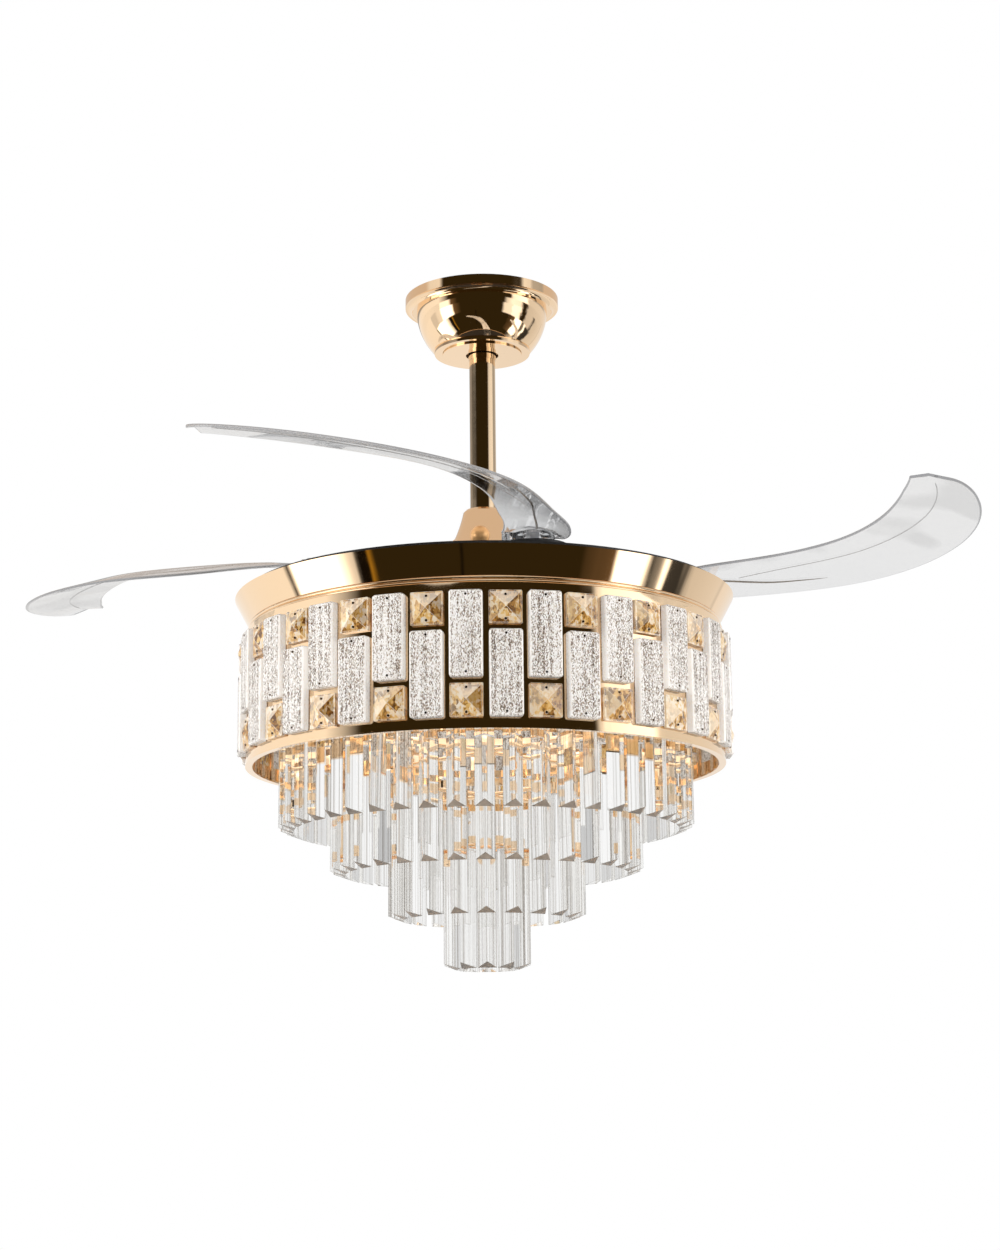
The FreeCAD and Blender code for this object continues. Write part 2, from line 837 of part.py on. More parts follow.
def to_pivot(shape, index):
    """Places a shape built about the pivot, with +X outwards, at one of the pivots."""
    copy = shape.copy()
    copy.translate(vec(pivot_circle, 0, 0))
    return turned(copy, pivot_turns()[index])


# Blades: swept clear shells with a crease, each through its own hub
hub_rise = blade_thickness * 0.75


def smooth_value(stations, values, share):
    """Value at a share of the length, on a smooth curve through the table."""
    share = min(max(share, stations[0]), stations[-1])
    slopes = []
    gaps = [(values[i + 1] - values[i]) / (stations[i + 1] - stations[i]) for i in range(len(values) - 1)]
    for index in range(len(values)):
        if index == 0 or index == len(values) - 1:
            slopes.append(gaps[0] if index == 0 else gaps[-1])
        else:
            slopes.append((gaps[index - 1] + gaps[index]) / 2)
    for index in range(len(stations) - 1):
        if share <= stations[index + 1]:
            width = stations[index + 1] - stations[index]
            t = (share - stations[index]) / width
            return ((2 * t ** 3 - 3 * t ** 2 + 1) * values[index]
                    + (t ** 3 - 2 * t ** 2 + t) * width * slopes[index]
                    + (3 * t ** 2 - 2 * t ** 3) * values[index + 1]
                    + (t ** 3 - t ** 2) * width * slopes[index + 1])
    return values[-1]


def plateau_share(distance):
    """One over the gear, falling to zero past its rim."""
    start = blade_pitch_radius - gear_module
    past = min(max((distance - start) / (blade_edge_drop * 1.5), 0.0), 1.0)
    return 1 - past * past * (3 - 2 * past)


def blade_section(share):
    """Closed section of the blade at a share of its length, from its inner to its outer edge."""
    outer = smooth_value(station_shares, outer_edge_shares, share) * blade_width
    inner = smooth_value(station_shares, inner_edge_shares, share) * blade_width
    outer_z = smooth_value(height_station_shares, outer_height_shares, share) * blade_width
    inner_z = smooth_value(height_station_shares, inner_height_shares, share) * blade_width
    if share > 1 - tip_round_share:
        past = (share - 1 + tip_round_share) / tip_round_share
        keep = math.sqrt(max(1 - past ** 2.5, 0.004))
        middle = (outer + inner) / 2
        outer = middle + (outer - middle) * keep
        outer_z = (outer_z + inner_z) / 2 + (outer_z - inner_z) / 2 * keep
    if share < 0:
        past = min(-share * blade_length / blade_root_back, 1.0)
        keep = math.sqrt(max(1 - past ** 2, 0.05))
        outer *= keep
        inner *= keep
    crease = blade_crease * min(max(share, 0.0) / 0.1, 1.0)
    near_root = min(max(1 - share / 0.15, 0.0), 1.0)
    shoulder = 1 - (0.16 - 0.04 * near_root) * min(blade_width / (inner - outer), 1.5)
    heading = math.radians(blade_heading) - share * blade_length / blade_curve_radius
    start = math.radians(blade_heading)
    x = (math.sin(start) - math.sin(heading)) * blade_curve_radius
    y = (math.cos(heading) - math.cos(start)) * blade_curve_radius
    across = vec(math.sin(heading), -math.cos(heading), 0)
    spine = vec(x, y, -blade_level)
    line = []
    for way in (0.0, 0.25, 0.5, shoulder, 1.0):
        flat = spine + across * (inner + (outer - inner) * way)
        height = inner_z + (outer_z - inner_z) * way + crease * (1 - abs(2 * way - 1))
        lift = plateau_share(math.hypot(flat.x, flat.y)) * max(-height, 0.0)
        line.append(flat + up * (height + lift))
    half = up * (blade_thickness / 2)
    top = [point + half for point in line]
    bottom = [point - half for point in reversed(line)]
    return Part.makePolygon(top + bottom + top[:1])


def blade_stations():
    back = blade_root_back / blade_length
    root = [-back, -back * 0.93, -back * 0.75, -back * 0.4, 0.0, back * 0.5]
    middle = [0.05 * step for step in range(1, 17)]
    tip = [1 - tip_round_share * (1 - t) for t in (0.0, 0.3, 0.55, 0.75, 0.88, 0.96, 1.0)]
    return root + [share for share in middle if share < tip[0] - 0.02] + tip


def build_blade_shape():
    sections = [blade_section(share) for share in blade_stations()]
    blade = Part.makeLoft(sections, True, False)
    if blade.Volume < 0:
        blade.reverse()
    blade = blade.cut(rod(hub_radius, -blade_level - blade_width, -blade_level + blade_width))
    return blade


def build_pivot_bolts():
    top = -blade_level + hub_rise + seat_gap
    post = rod(post_radius, rim_low_z, top)
    head = rod(bolt_head_radius, top, top + fastener_head)
    return [to_pivot(post.fuse(head), index) for index in range(blade_count)]


def build_blade_springs():
    spring = tube(spring_radius, spring_radius - spring_wall, rim_top_z, rim_top_z + spring_height)
    return [to_pivot(spring, index) for index in range(blade_count)]


def build_sync_clips():
    low = ledge_z + guide_height
    clip = box(guide_radius - guide_wall, sync_inner_radius + guide_wall, -clip_width / 2, clip_width / 2,
               low, low + clip_thickness)
    return around(clip, sync_clip_count, pivot_turn + 180.0 / sync_clip_count)


# Conical ring, bead, pan and the long nut that clamps them to the shaft
bead_radius = frame_radius - bead_inset
ring_foot_radius = bead_radius - bead_height / 9
ring_foot_z = -(ring_top_drop + ring_height)
frame_top_z = ring_foot_z - bead_height
pan_top_z = frame_top_z + pan_sheet
nut_low_z = frame_top_z - nut_height


def build_ring():
    lean = (ring_radius - ring_foot_radius) / ring_height
    top = -ring_top_drop
    flange_low = top - ring_sheet
    return spun((ring_radius - ring_flange, top), [
        (ring_radius, top),
        (ring_foot_radius, ring_foot_z),
        (ring_foot_radius - ring_sheet, ring_foot_z),
        (ring_radius - ring_sheet - lean * ring_sheet, flange_low),
        (ring_radius - ring_flange, flange_low),
    ])


def build_bead():
    inner = bead_radius - bead_depth
    third = bead_height / 3
    first = bead_radius - third / 2
    return spun((inner, ring_foot_z), [
        (first, ring_foot_z),
        ((bead_radius, ring_foot_z - third * 0.75), (first, ring_foot_z - third * 1.5)),
        ((bead_radius, ring_foot_z - third * 2.25), (first, frame_top_z)),
        (inner, frame_top_z),
    ])


def build_pan():
    pan = rod(bead_radius - bead_depth, frame_top_z, pan_top_z)
    pan = pan.cut(rod(shaft_radius, frame_top_z - cut_over, pan_top_z + cut_over))
    return pan.cut(Part.makeCompound(drum_screw_shanks(seat_gap)))


def build_kit_nut():
    corners = [polar(nut_radius, 60 * index, nut_low_z) for index in range(6)]
    nut = Part.Face(Part.makePolygon(corners + corners[:1])).extrude(vec(0, 0, nut_height))
    nut = nut.cut(rod(shaft_radius, -shaft_foot_drop, frame_top_z + cut_over))
    return nut.cut(rod(stem_radius, nut_low_z - cut_over, -shaft_foot_drop))


# Drum frame with a window behind each crystal
frame_inner_radius = frame_radius - frame_sheet
frame_bottom_z = -frame_bottom_drop
upper_z = frame_top_z - frame_rail
lower_z = upper_z - amber_height - crystal_bar - tall_height


def column_turns():
    step = 360.0 / column_count
    return [-90.0 + column_turn + (index + 0.5) * step for index in range(column_count)]


def crystal_places():
    """Angle, foot height and kind of each crystal: amber above tall in one column, below in the next."""
    places = []
    for index, degrees in enumerate(column_turns()):
        if index % 2 == 0:
            places.append((degrees, upper_z - amber_height, "amber"))
            places.append((degrees, lower_z, "tall"))
        else:
            places.append((degrees, upper_z - tall_height, "tall"))
            places.append((degrees, lower_z, "amber"))
    return places


def build_frame():
    frame = tube(frame_radius, frame_inner_radius, frame_bottom_z, frame_top_z)
    half = crystal_width / 2 - window_side_inset
    windows = []
    for degrees, foot, kind in crystal_places():
        height = amber_height if kind == "amber" else tall_height
        window = box(frame_inner_radius - cut_over, frame_radius + cut_over, -half, half,
                     foot + window_end_inset, foot + height - window_end_inset)
        windows.append(turned(window, degrees))
    return frame.cut(Part.makeCompound(windows))


def build_top_ring():
    ring = tube(frame_inner_radius, frame_inner_radius - top_ring_width, frame_top_z - pan_sheet, frame_top_z)
    return ring.cut(Part.makeCompound(drum_screw_shanks(seat_gap)))


def build_bottom_ring():
    return tube(frame_radius, frame_radius - bottom_ring_width, frame_bottom_z - frame_sheet, frame_bottom_z)


def drum_screw_shanks(play):
    circle = bead_radius - bead_depth - drum_screw_head
    shank = rod(drum_screw_radius + play, frame_top_z - pan_sheet, pan_top_z, circle)
    return around(shank, drum_screw_count)


def build_drum_screws():
    circle = bead_radius - bead_depth - drum_screw_head
    low = frame_top_z - pan_sheet
    head = rod(drum_screw_head, low - fastener_head, low, circle)
    return [shank.fuse(cap) for shank, cap in zip(drum_screw_shanks(0), around(head, drum_screw_count))]


def plate_outline(width, height, corner, x):
    """Rounded upright rectangle in the plane of one x, from height zero upwards."""
    half = width / 2
    quarter = corner * (1 - math.sqrt(0.5))
    edges = []
    corners = [(half, 0, -1, 1), (half, height, -1, -1), (-half, height, 1, -1), (-half, 0, 1, 1)]
    ends = []
    for y, z, side, rise in corners:
        vertical = vec(x, y, z + rise * corner)
        level = vec(x, y + side * corner, z)
        middle = vec(x, y + side * quarter, z + rise * quarter)
        ends.append((level, middle, vertical))
    order = [(ends[0][0], ends[0][1], ends[0][2]), (ends[1][2], ends[1][1], ends[1][0]),
             (ends[2][0], ends[2][1], ends[2][2]), (ends[3][2], ends[3][1], ends[3][0])]
    for index, (first, middle, second) in enumerate(order):
        edges.append(Part.Arc(first, middle, second).toShape())
        following = order[(index + 1) % len(order)][0]
        edges.append(Part.LineSegment(second, following).toShape())
    return Part.Wire(edges)


crystal_back = frame_radius + seat_gap


def pin_holes(height, reach):
    holes = []
    for z in (pin_inset, height - pin_inset):
        holes.append(Part.makeCylinder(pin_radius + seat_gap, reach + 2 * cut_over,
                                       vec(crystal_back - cut_over, 0, z), vec(1, 0, 0)))
    return holes


def build_tall_crystal():
    body = Part.Face(plate_outline(crystal_width, tall_height, crystal_corner, crystal_back))
    plate = body.extrude(vec(tall_thickness - tall_bevel, 0, 0))
    back = plate_outline(crystal_width, tall_height, crystal_corner, crystal_back + tall_thickness - tall_bevel)
    front = plate_outline(crystal_width - 2 * tall_bevel, tall_height - 2 * tall_bevel,
                          crystal_corner - tall_bevel / 2, crystal_back + tall_thickness)
    front.translate(vec(0, 0, tall_bevel))
    crystal = plate.fuse(Part.makeLoft([back, front], True, True)).removeSplitter()
    for hole in pin_holes(tall_height, tall_thickness):
        crystal = crystal.cut(hole)
    return crystal


def build_amber_crystal():
    body = Part.Face(plate_outline(crystal_width, amber_height, crystal_corner / 2, crystal_back))
    base = body.extrude(vec(amber_base, 0, 0))
    x = crystal_back + amber_base
    half = crystal_width / 2 - crystal_corner / 2
    low = crystal_corner / 2
    high = amber_height - crystal_corner / 2
    table = amber_peak * 0.12
    corners = [vec(x, -half, low), vec(x, half, low), vec(x, half, high), vec(x, -half, high)]
    middle = amber_height / 2
    tip = [vec(x + amber_peak, y, middle + z)
           for y, z in ((-table, -table), (table, -table), (table, table), (-table, table))]
    crystal = base.fuse(prism_between(corners, tip)).removeSplitter()
    for hole in pin_holes(amber_height, amber_base + amber_peak):
        crystal = crystal.cut(hole)
    return crystal


def placed_crystals(prototype, wanted):
    crystals = []
    for degrees, foot, kind in crystal_places():
        if kind == wanted:
            copy = prototype.copy()
            copy.translate(vec(0, 0, foot))
            crystals.append(turned(copy, degrees))
    return crystals


def build_crystal_pins():
    pins = []
    for degrees, foot, kind in crystal_places():
        height = amber_height if kind == "amber" else tall_height
        slope = amber_peak * pin_inset / (amber_height / 2)
        front = amber_base + slope if kind == "amber" else tall_thickness
        for z in (foot + pin_inset, foot + height - pin_inset):
            length = seat_gap + front + pin_proud
            pin = Part.makeCylinder(pin_radius, length, vec(frame_radius, 0, z), vec(1, 0, 0))
            pins.append(turned(pin, degrees))
    return pins


# Lamp tray, posts, driver and lenses
tray_z = -tray_drop
tray_radius = frame_radius - tray_inset


def build_tray():
    tray = rod(tray_radius, tray_z, tray_z + tray_sheet)
    return tray.cut(rod(nut_radius + rest_gap, tray_z - cut_over, tray_z + cut_over))


def build_tray_posts():
    post = rod(tray_post_radius, tray_z + tray_sheet, frame_top_z, tray_post_circle)
    return around(post, tray_post_count, 180.0 / tray_post_count)


def build_driver():
    return box(-supply_length / 2, supply_length / 2, supply_offset - supply_width / 2,
               supply_offset + supply_width / 2, frame_top_z - supply_height, frame_top_z)


def build_lenses():
    dome = (lens_radius ** 2 + lens_height ** 2) / (2 * lens_height)
    ball = Part.makeSphere(dome, vec(0, 0, tray_z - lens_height + dome))
    lens = ball.common(rod(lens_radius, tray_z - lens_height, tray_z))
    outer = lens.copy()
    outer.translate(vec(lens_circle, 0, 0))
    inner = lens.copy()
    inner.translate(vec(lens_inner_circle, 0, 0))
    return around(outer, lens_count) + around(inner, lens_inner_count)


# Tiers: bands with spokes on a central stem, links and prisms
def tier_top_z(tier):
    return -tier_bottom_drops[tier] + prism_length


def band_low_z(tier):
    return tier_top_z(tier) + prism_link


def band_radius(tier):
    return tier_radii[tier] - prism_depth / 2 + tier_band_sheet / 2


def build_tier_rings():
    rings = []
    for tier in range(len(tier_radii)):
        low = band_low_z(tier)
        outer = band_radius(tier)
        band = tube(outer, outer - tier_band_sheet, low, low + tier_band_height)
        hub = rod(tier_hub_radius, low, low + tier_band_height)
        pieces = [hub]
        middle = low + tier_band_height / 2
        reach = outer - tier_band_sheet / 2
        pieces += [cross_rod(spoke_radius, reach, 45 + 360.0 * index / spoke_count, middle)
                   for index in range(spoke_count)]
        ring = band.multiFuse(pieces)
        rings.append(ring.cut(rod(stem_radius, low - cut_over, low + tier_band_height + cut_over)))
    return rings


def prism_turns(tier):
    return [-90.0 + 360.0 * index / tier_counts[tier] for index in range(tier_counts[tier])]


def build_prism(tier):
    low = -tier_bottom_drops[tier]
    high = tier_top_z(tier)
    outer = tier_radii[tier]
    half = prism_width / 2
    corners = [(outer, 0, prism_cut), (outer - prism_depth, half, 0), (outer - prism_depth, -half, 0)]
    lower = [vec(x, y, low + rise) for x, y, rise in corners]
    upper = [vec(x, y, high) for x, y, rise in corners]
    return prism_between(lower, upper)


def build_prisms(tier):
    prism = build_prism(tier)
    return [turned(prism, degrees) for degrees in prism_turns(tier)]


def build_links():
    links = []
    for tier in range(len(tier_radii)):
        link = rod(link_radius, tier_top_z(tier), band_low_z(tier), tier_radii[tier] - prism_depth / 2)
        links += [turned(link, degrees) for degrees in prism_turns(tier)]
    return links


stem_low_z = band_low_z(len(tier_radii) - 1) - finial_height / 2


def build_stem():
    return rod(stem_radius, stem_low_z, -shaft_foot_drop)


def build_finial():
    top = band_low_z(len(tier_radii) - 1)
    foot = top - finial_height
    finial = spun((0, foot), [
        ((finial_radius * 0.75, foot + finial_radius * 0.25), (finial_radius, foot + finial_radius)),
        (finial_radius, top),
        (0, top),
    ])
    return finial.cut(rod(stem_radius, stem_low_z, top + cut_over))


save("ceiling_bracket", build_bracket())
save("canopy", build_canopy())
save("canopy_end_disc", build_end_disc())
save("canopy_screws", build_canopy_screws())
save("receiver_box", build_receiver())
save("terminal_block", build_terminal_block())

save("hanger_ball", build_hanger_ball())
save("downrod", build_rod())
save("rod_pins", build_rod_pins())
save("downrod_collar", build_collar())
save("coupling_bell", build_bell())
save("bell_screws", build_bell_screws())
save("yoke", build_yoke())
save("yoke_screws", build_yoke_screws())

save("motor_shaft", build_shaft())
save("bearing_inner_races", build_inner_races())
save("bearing_outer_races", build_outer_races())
save("bearing_balls", build_bearing_balls())
save("rotor_top_cover", build_rotor_top())
save("rotor_bottom_cover", build_rotor_bottom())
save("rotor_magnets", build_magnets())
save("stator_core", build_stator())
save("stator_windings", build_windings())

save("blade_carrier", build_carrier())
save("carrier_screws", build_carrier_screws())
save("sync_gear", build_sync_gear())
save("sync_clips", build_sync_clips())
save("pivot_bolts", build_pivot_bolts())
save("blade_springs", build_blade_springs())
blade_shape = build_blade_shape()
for number in range(1, blade_count + 1):
    rest_turn = lagging_turn if number == lagging_blade else 0.0
    save(f"blade_{number}", to_pivot(turned(blade_shape, rest_turn), number - 1))
    save(f"blade_gear_{number}", build_blade_gear(number - 1))

save("cone_ring", build_ring())
save("ring_bead", build_bead())
save("kit_pan", build_pan())
save("kit_nut", build_kit_nut())
save("drum_frame", build_frame())
save("drum_top_ring", build_top_ring())
save("drum_bottom_ring", build_bottom_ring())
save("drum_screws", build_drum_screws())
save("amber_crystals", placed_crystals(build_amber_crystal(), "amber"))
save("textured_crystals", placed_crystals(build_tall_crystal(), "tall"))
save("crystal_pins", build_crystal_pins())

save("lamp_tray", build_tray())
save("tray_posts", build_tray_posts())
save("led_driver", build_driver())
save("led_lenses", build_lenses())

save("tier_stem", build_stem())
save("tier_rings", build_tier_rings())
for tier_number in range(1, len(tier_radii) + 1):
    save(f"prisms_tier_{tier_number}", build_prisms(tier_number - 1))
save("prism_links", build_links())
save("finial", build_finial())
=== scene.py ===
import json
import math

import bpy
import numpy as np
from mathutils import Matrix, Vector


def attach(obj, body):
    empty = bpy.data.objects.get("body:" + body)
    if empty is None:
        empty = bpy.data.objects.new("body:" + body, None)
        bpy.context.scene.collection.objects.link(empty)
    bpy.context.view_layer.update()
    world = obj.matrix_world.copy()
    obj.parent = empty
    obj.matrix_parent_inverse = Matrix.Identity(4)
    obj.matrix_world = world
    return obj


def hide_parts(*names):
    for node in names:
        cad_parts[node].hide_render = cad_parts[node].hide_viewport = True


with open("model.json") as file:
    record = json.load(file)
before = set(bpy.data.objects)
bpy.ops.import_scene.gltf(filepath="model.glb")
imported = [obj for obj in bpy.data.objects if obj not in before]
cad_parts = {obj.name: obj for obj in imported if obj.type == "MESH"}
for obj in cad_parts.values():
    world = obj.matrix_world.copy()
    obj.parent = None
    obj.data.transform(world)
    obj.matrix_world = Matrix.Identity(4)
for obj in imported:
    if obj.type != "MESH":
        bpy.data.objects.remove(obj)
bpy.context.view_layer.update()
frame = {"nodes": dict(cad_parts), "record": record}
nodes = frame["nodes"]
print("frame loaded:", len(nodes), "nodes")


# Camera: stands in front of the fan, below it, and looks up
cameraPlace = dict(x=0.015545, y=-2.3327, z=-0.8534, tilt=12.304, roll=-0.59, lens=68.27,
                   sensor=36.0, near=0.01)


def placeCamera(s):
    data = bpy.data.cameras.new("photoCamera")
    data.sensor_width = s["sensor"]
    data.sensor_fit = "AUTO"
    data.lens = s["lens"]
    data.clip_start = s["near"]
    camera = bpy.data.objects.new("photoCamera", data)
    bpy.context.scene.collection.objects.link(camera)
    camera.location = (s["x"], s["y"], s["z"])
    camera.rotation_mode = "XYZ"
    # the roll is about the line of sight, so it is the first turn of the two
    tilt = Matrix.Rotation(math.radians(90 + s["tilt"]), 3, "X")
    camera.rotation_euler = (tilt @ Matrix.Rotation(math.radians(s["roll"]), 3, "Z")).to_euler("XYZ")
    bpy.context.scene.camera = camera


placeCamera(cameraPlace)
bpy.context.scene.view_settings.view_transform = "Standard"
print("camera placed")


# Node helpers
def newTree(material):
    material.use_nodes = True
    tree = material.node_tree
    tree.nodes.clear()
    return tree


def addNode(tree, kind, **values):
    node = tree.nodes.new(kind)
    for key, value in values.items():
        setattr(node, key, value)
    return node


def mathNode(tree, operation, first, second=None, clamp=False):
    node = addNode(tree, "ShaderNodeMath", operation=operation, use_clamp=clamp)
    for index, value in enumerate((first, second)):
        if value is None:
            continue
        if isinstance(value, (int, float)):
            node.inputs[index].default_value = value
        else:
            tree.links.new(value, node.inputs[index])
    return node.outputs[0]


def rampNode(tree, source, stops):
    node = addNode(tree, "ShaderNodeValToRGB")
    elements = node.color_ramp.elements
    elements[0].position = stops[0][0]
    elements[1].position = stops[-1][0]
    for place, _ in stops[1:-1]:
        elements.new(place)
    for element, (_, colour) in zip(elements, stops):
        shade = colour if isinstance(colour, tuple) else (colour, colour, colour)
        element.color = (*shade, 1.0)
    tree.links.new(source, node.inputs[0])
    return node.outputs[0]


def mixColour(tree, factor, first, second):
    node = addNode(tree, "ShaderNodeMix", data_type="RGBA")
    for title, value in (("Factor", factor), ("A", first), ("B", second)):
        kind = "VALUE" if title == "Factor" else "RGBA"
        socket = next(entry for entry in node.inputs if entry.name == title and entry.type == kind)
        if isinstance(value, tuple):
            socket.default_value = (*value, 1.0)
        else:
            tree.links.new(value, socket)
    return next(entry for entry in node.outputs if entry.type == "RGBA")


def newGroup(name, inputs, outputs):
    group = bpy.data.node_groups.new(name, "ShaderNodeTree")
    for title, kind, value in inputs:
        socket = group.interface.new_socket(title, in_out="INPUT", socket_type=kind)
        if value is not None:
            socket.default_value = value
    for title, kind in outputs:
        group.interface.new_socket(title, in_out="OUTPUT", socket_type=kind)
    return group, addNode(group, "NodeGroupInput"), addNode(group, "NodeGroupOutput")


def useGroup(tree, group, **values):
    node = addNode(tree, "ShaderNodeGroup")
    node.node_tree = group
    for key, value in values.items():
        node.inputs[key].default_value = value
    return node


def objectPlace(tree, scale=(1, 1, 1)):
    place = addNode(tree, "ShaderNodeTexCoord")
    mapping = addNode(tree, "ShaderNodeMapping")
    mapping.inputs["Scale"].default_value = scale
    tree.links.new(place.outputs["Object"], mapping.inputs["Vector"])
    return mapping.outputs[0]


def noiseNode(tree, vector, scale, detail=2.0, roughness=0.5):
    node = addNode(tree, "ShaderNodeTexNoise")
    node.inputs["Scale"].default_value = scale
    node.inputs["Detail"].default_value = detail
    node.inputs["Roughness"].default_value = roughness
    tree.links.new(vector, node.inputs["Vector"])
    return node.outputs["Fac"]


# Shared effects
polishForm = dict(stretch=2.2, detail=4.0, least=0.42, waves=9.0)
grainForm = dict(detail=3.0, clouds=25.0, cloudDetail=3.0)
edgeForm = dict(samples=4, rise=[(0.004, 0.0), (0.02, 1.0)])


# smears and slow waves of a polished surface: a roughness and a height
def buildPolish(s):
    group, inside, outside = newGroup(
        "polishMarks",
        [("Base", "NodeSocketFloat", 0.1), ("Smears", "NodeSocketFloat", 0.05),
         ("Scale", "NodeSocketFloat", 30.0)],
        [("Roughness", "NodeSocketFloat"), ("Height", "NodeSocketFloat")])
    vector = objectPlace(group, (1, 1, s["stretch"]))
    cloud = addNode(group, "ShaderNodeTexNoise")
    cloud.inputs["Detail"].default_value = s["detail"]
    group.links.new(vector, cloud.inputs["Vector"])
    group.links.new(inside.outputs["Scale"], cloud.inputs["Scale"])
    spread = mathNode(group, "SUBTRACT", cloud.outputs["Fac"], s["least"], clamp=True)
    amount = mathNode(group, "MULTIPLY", spread, inside.outputs["Smears"])
    rough = mathNode(group, "ADD", amount, inside.outputs["Base"])
    group.links.new(rough, outside.inputs["Roughness"])
    slow = noiseNode(group, vector, s["waves"], detail=1.0)
    group.links.new(slow, outside.inputs["Height"])
    return group


# fine grain of moulded plastic or painted metal
def buildGrain(s):
    group, inside, outside = newGroup(
        "fineGrain",
        [("Scale", "NodeSocketFloat", 900.0), ("Base", "NodeSocketFloat", 0.4),
         ("Spread", "NodeSocketFloat", 0.2)],
        [("Roughness", "NodeSocketFloat"), ("Height", "NodeSocketFloat")])
    vector = objectPlace(group)
    fine = addNode(group, "ShaderNodeTexNoise")
    fine.inputs["Detail"].default_value = s["detail"]
    group.links.new(vector, fine.inputs["Vector"])
    group.links.new(inside.outputs["Scale"], fine.inputs["Scale"])
    slow = noiseNode(group, vector, s["clouds"], s["cloudDetail"])
    amount = mathNode(group, "MULTIPLY", slow, inside.outputs["Spread"])
    rough = mathNode(group, "ADD", amount, inside.outputs["Base"])
    group.links.new(rough, outside.inputs["Roughness"])
    group.links.new(fine.outputs["Fac"], outside.inputs["Height"])
    return group


# one along the sharp edges of a cut piece and zero elsewhere
def buildCutEdges(s):
    group, inside, outside = newGroup(
        "cutEdges", [("Radius", "NodeSocketFloat", 0.0006)], [("Edge", "NodeSocketFloat")])
    corner = addNode(group, "ShaderNodeBevel", samples=s["samples"])
    group.links.new(inside.outputs["Radius"], corner.inputs["Radius"])
    face = addNode(group, "ShaderNodeNewGeometry")
    match = addNode(group, "ShaderNodeVectorMath", operation="DOT_PRODUCT")
    group.links.new(corner.outputs[0], match.inputs[0])
    group.links.new(face.outputs["Normal"], match.inputs[1])
    turned = mathNode(group, "SUBTRACT", 1.0, match.outputs["Value"])
    edge = rampNode(group, turned, s["rise"])
    group.links.new(edge, outside.inputs["Edge"])
    return group


polishMarks = buildPolish(polishForm)
fineGrain = buildGrain(grainForm)
cutEdges = buildCutEdges(edgeForm)


def principled(name, colour, **values):
    material = bpy.data.materials.new(name)
    tree = newTree(material)
    shader = addNode(tree, "ShaderNodeBsdfPrincipled")
    output = addNode(tree, "ShaderNodeOutputMaterial")
    tree.links.new(shader.outputs[0], output.inputs["Surface"])
    shader.inputs["Base Color"].default_value = (*colour, 1.0)
    for key, value in values.items():
        title = key.replace("_", " ")
        shader.inputs[title].default_value = value
    return material, tree, shader


def addBump(tree, shader, height, strength, distance):
    bump = addNode(tree, "ShaderNodeBump")
    bump.inputs["Strength"].default_value = strength
    bump.inputs["Distance"].default_value = distance
    tree.links.new(height, bump.inputs["Height"])
    tree.links.new(bump.outputs[0], shader.inputs["Normal"])


# a painted glow of a plain colour in place of the light at the end of a long way through glass, so that
# stacked pieces stay clear
def endDeepRays(tree, shader, depth, colour):
    output = next(node for node in tree.nodes if node.type == "OUTPUT_MATERIAL")
    path = addNode(tree, "ShaderNodeLightPath")
    glow = addNode(tree, "ShaderNodeEmission")
    glow.inputs["Color"].default_value = (*colour, 1.0)
    mix = addNode(tree, "ShaderNodeMixShader")
    tree.links.new(mathNode(tree, "GREATER_THAN", path.outputs["Ray Depth"], depth), mix.inputs[0])
    tree.links.new(shader.outputs[0], mix.inputs[1])
    tree.links.new(glow.outputs[0], mix.inputs[2])
    tree.links.new(mix.outputs[0], output.inputs["Surface"])


finishes = dict(
    gold=dict(colour=(0.94, 0.70, 0.46), rough=0.035, smears=0.09, scale=38.0, bump=0.03),
    # the downrod's gold is a darker copy of the plate's gold: its darker colour is painted shade
    tube=dict(colour=(0.82, 0.63, 0.43), rough=0.09, smears=0.08, scale=60.0, bump=0.02),
    # the dome nuts' deep orange gold, half metal, is a painted reflection of what they mirror
    dome=dict(colour=(0.86, 0.50, 0.22), rough=0.28, smears=0.2, scale=90.0, bump=0.05, metal=0.5),
    pin=dict(colour=(0.10, 0.06, 0.03), rough=0.25, smears=0.1, scale=80.0, bump=0.02),
    steel=dict(colour=(0.55, 0.55, 0.56), rough=0.28, smears=0.3, scale=80.0, bump=0.05),
    bracket=dict(colour=(0.66, 0.67, 0.68), rough=0.32, smears=0.35, scale=50.0, bump=0.05),
    black=dict(colour=(0.012, 0.012, 0.013), rough=0.28, spread=0.25, grain=1400.0, bump=0.06),
    gearBlack=dict(colour=(0.016, 0.016, 0.018), rough=0.34, spread=0.2, grain=1800.0, bump=0.05),
    paint=dict(colour=(0.03, 0.03, 0.033), rough=0.42, spread=0.2, grain=1100.0, bump=0.1),
    magnet=dict(colour=(0.16, 0.16, 0.17), rough=0.45, spread=0.25, grain=1500.0, bump=0.1),
    white=dict(colour=(0.84, 0.84, 0.82), rough=0.42, spread=0.15, grain=1300.0, bump=0.05),
    pan=dict(colour=(0.82, 0.82, 0.80), rough=0.35, spread=0.2, grain=1000.0, bump=0.08),
)
# how deep in metres the bumps of each kind of surface may go
bumpDepth = dict(metal=0.004, plain=0.0004, coil=0.0006, core=0.0003, clear=0.01, crackle=0.0008)


def metalMaterial(name, s):
    material, tree, shader = principled(name, s["colour"], Metallic=s.get("metal", 1.0))
    marks = useGroup(tree, polishMarks, Base=s["rough"], Smears=s["smears"], Scale=s["scale"])
    tree.links.new(marks.outputs["Roughness"], shader.inputs["Roughness"])
    addBump(tree, shader, marks.outputs["Height"], s["bump"], bumpDepth["metal"])
    return material


def plainMaterial(name, s):
    material, tree, shader = principled(name, s["colour"])
    grain = useGroup(tree, fineGrain, Base=s["rough"], Spread=s["spread"], Scale=s["grain"])
    tree.links.new(grain.outputs["Roughness"], shader.inputs["Roughness"])
    addBump(tree, shader, grain.outputs["Height"], s["bump"], bumpDepth["plain"])
    return material


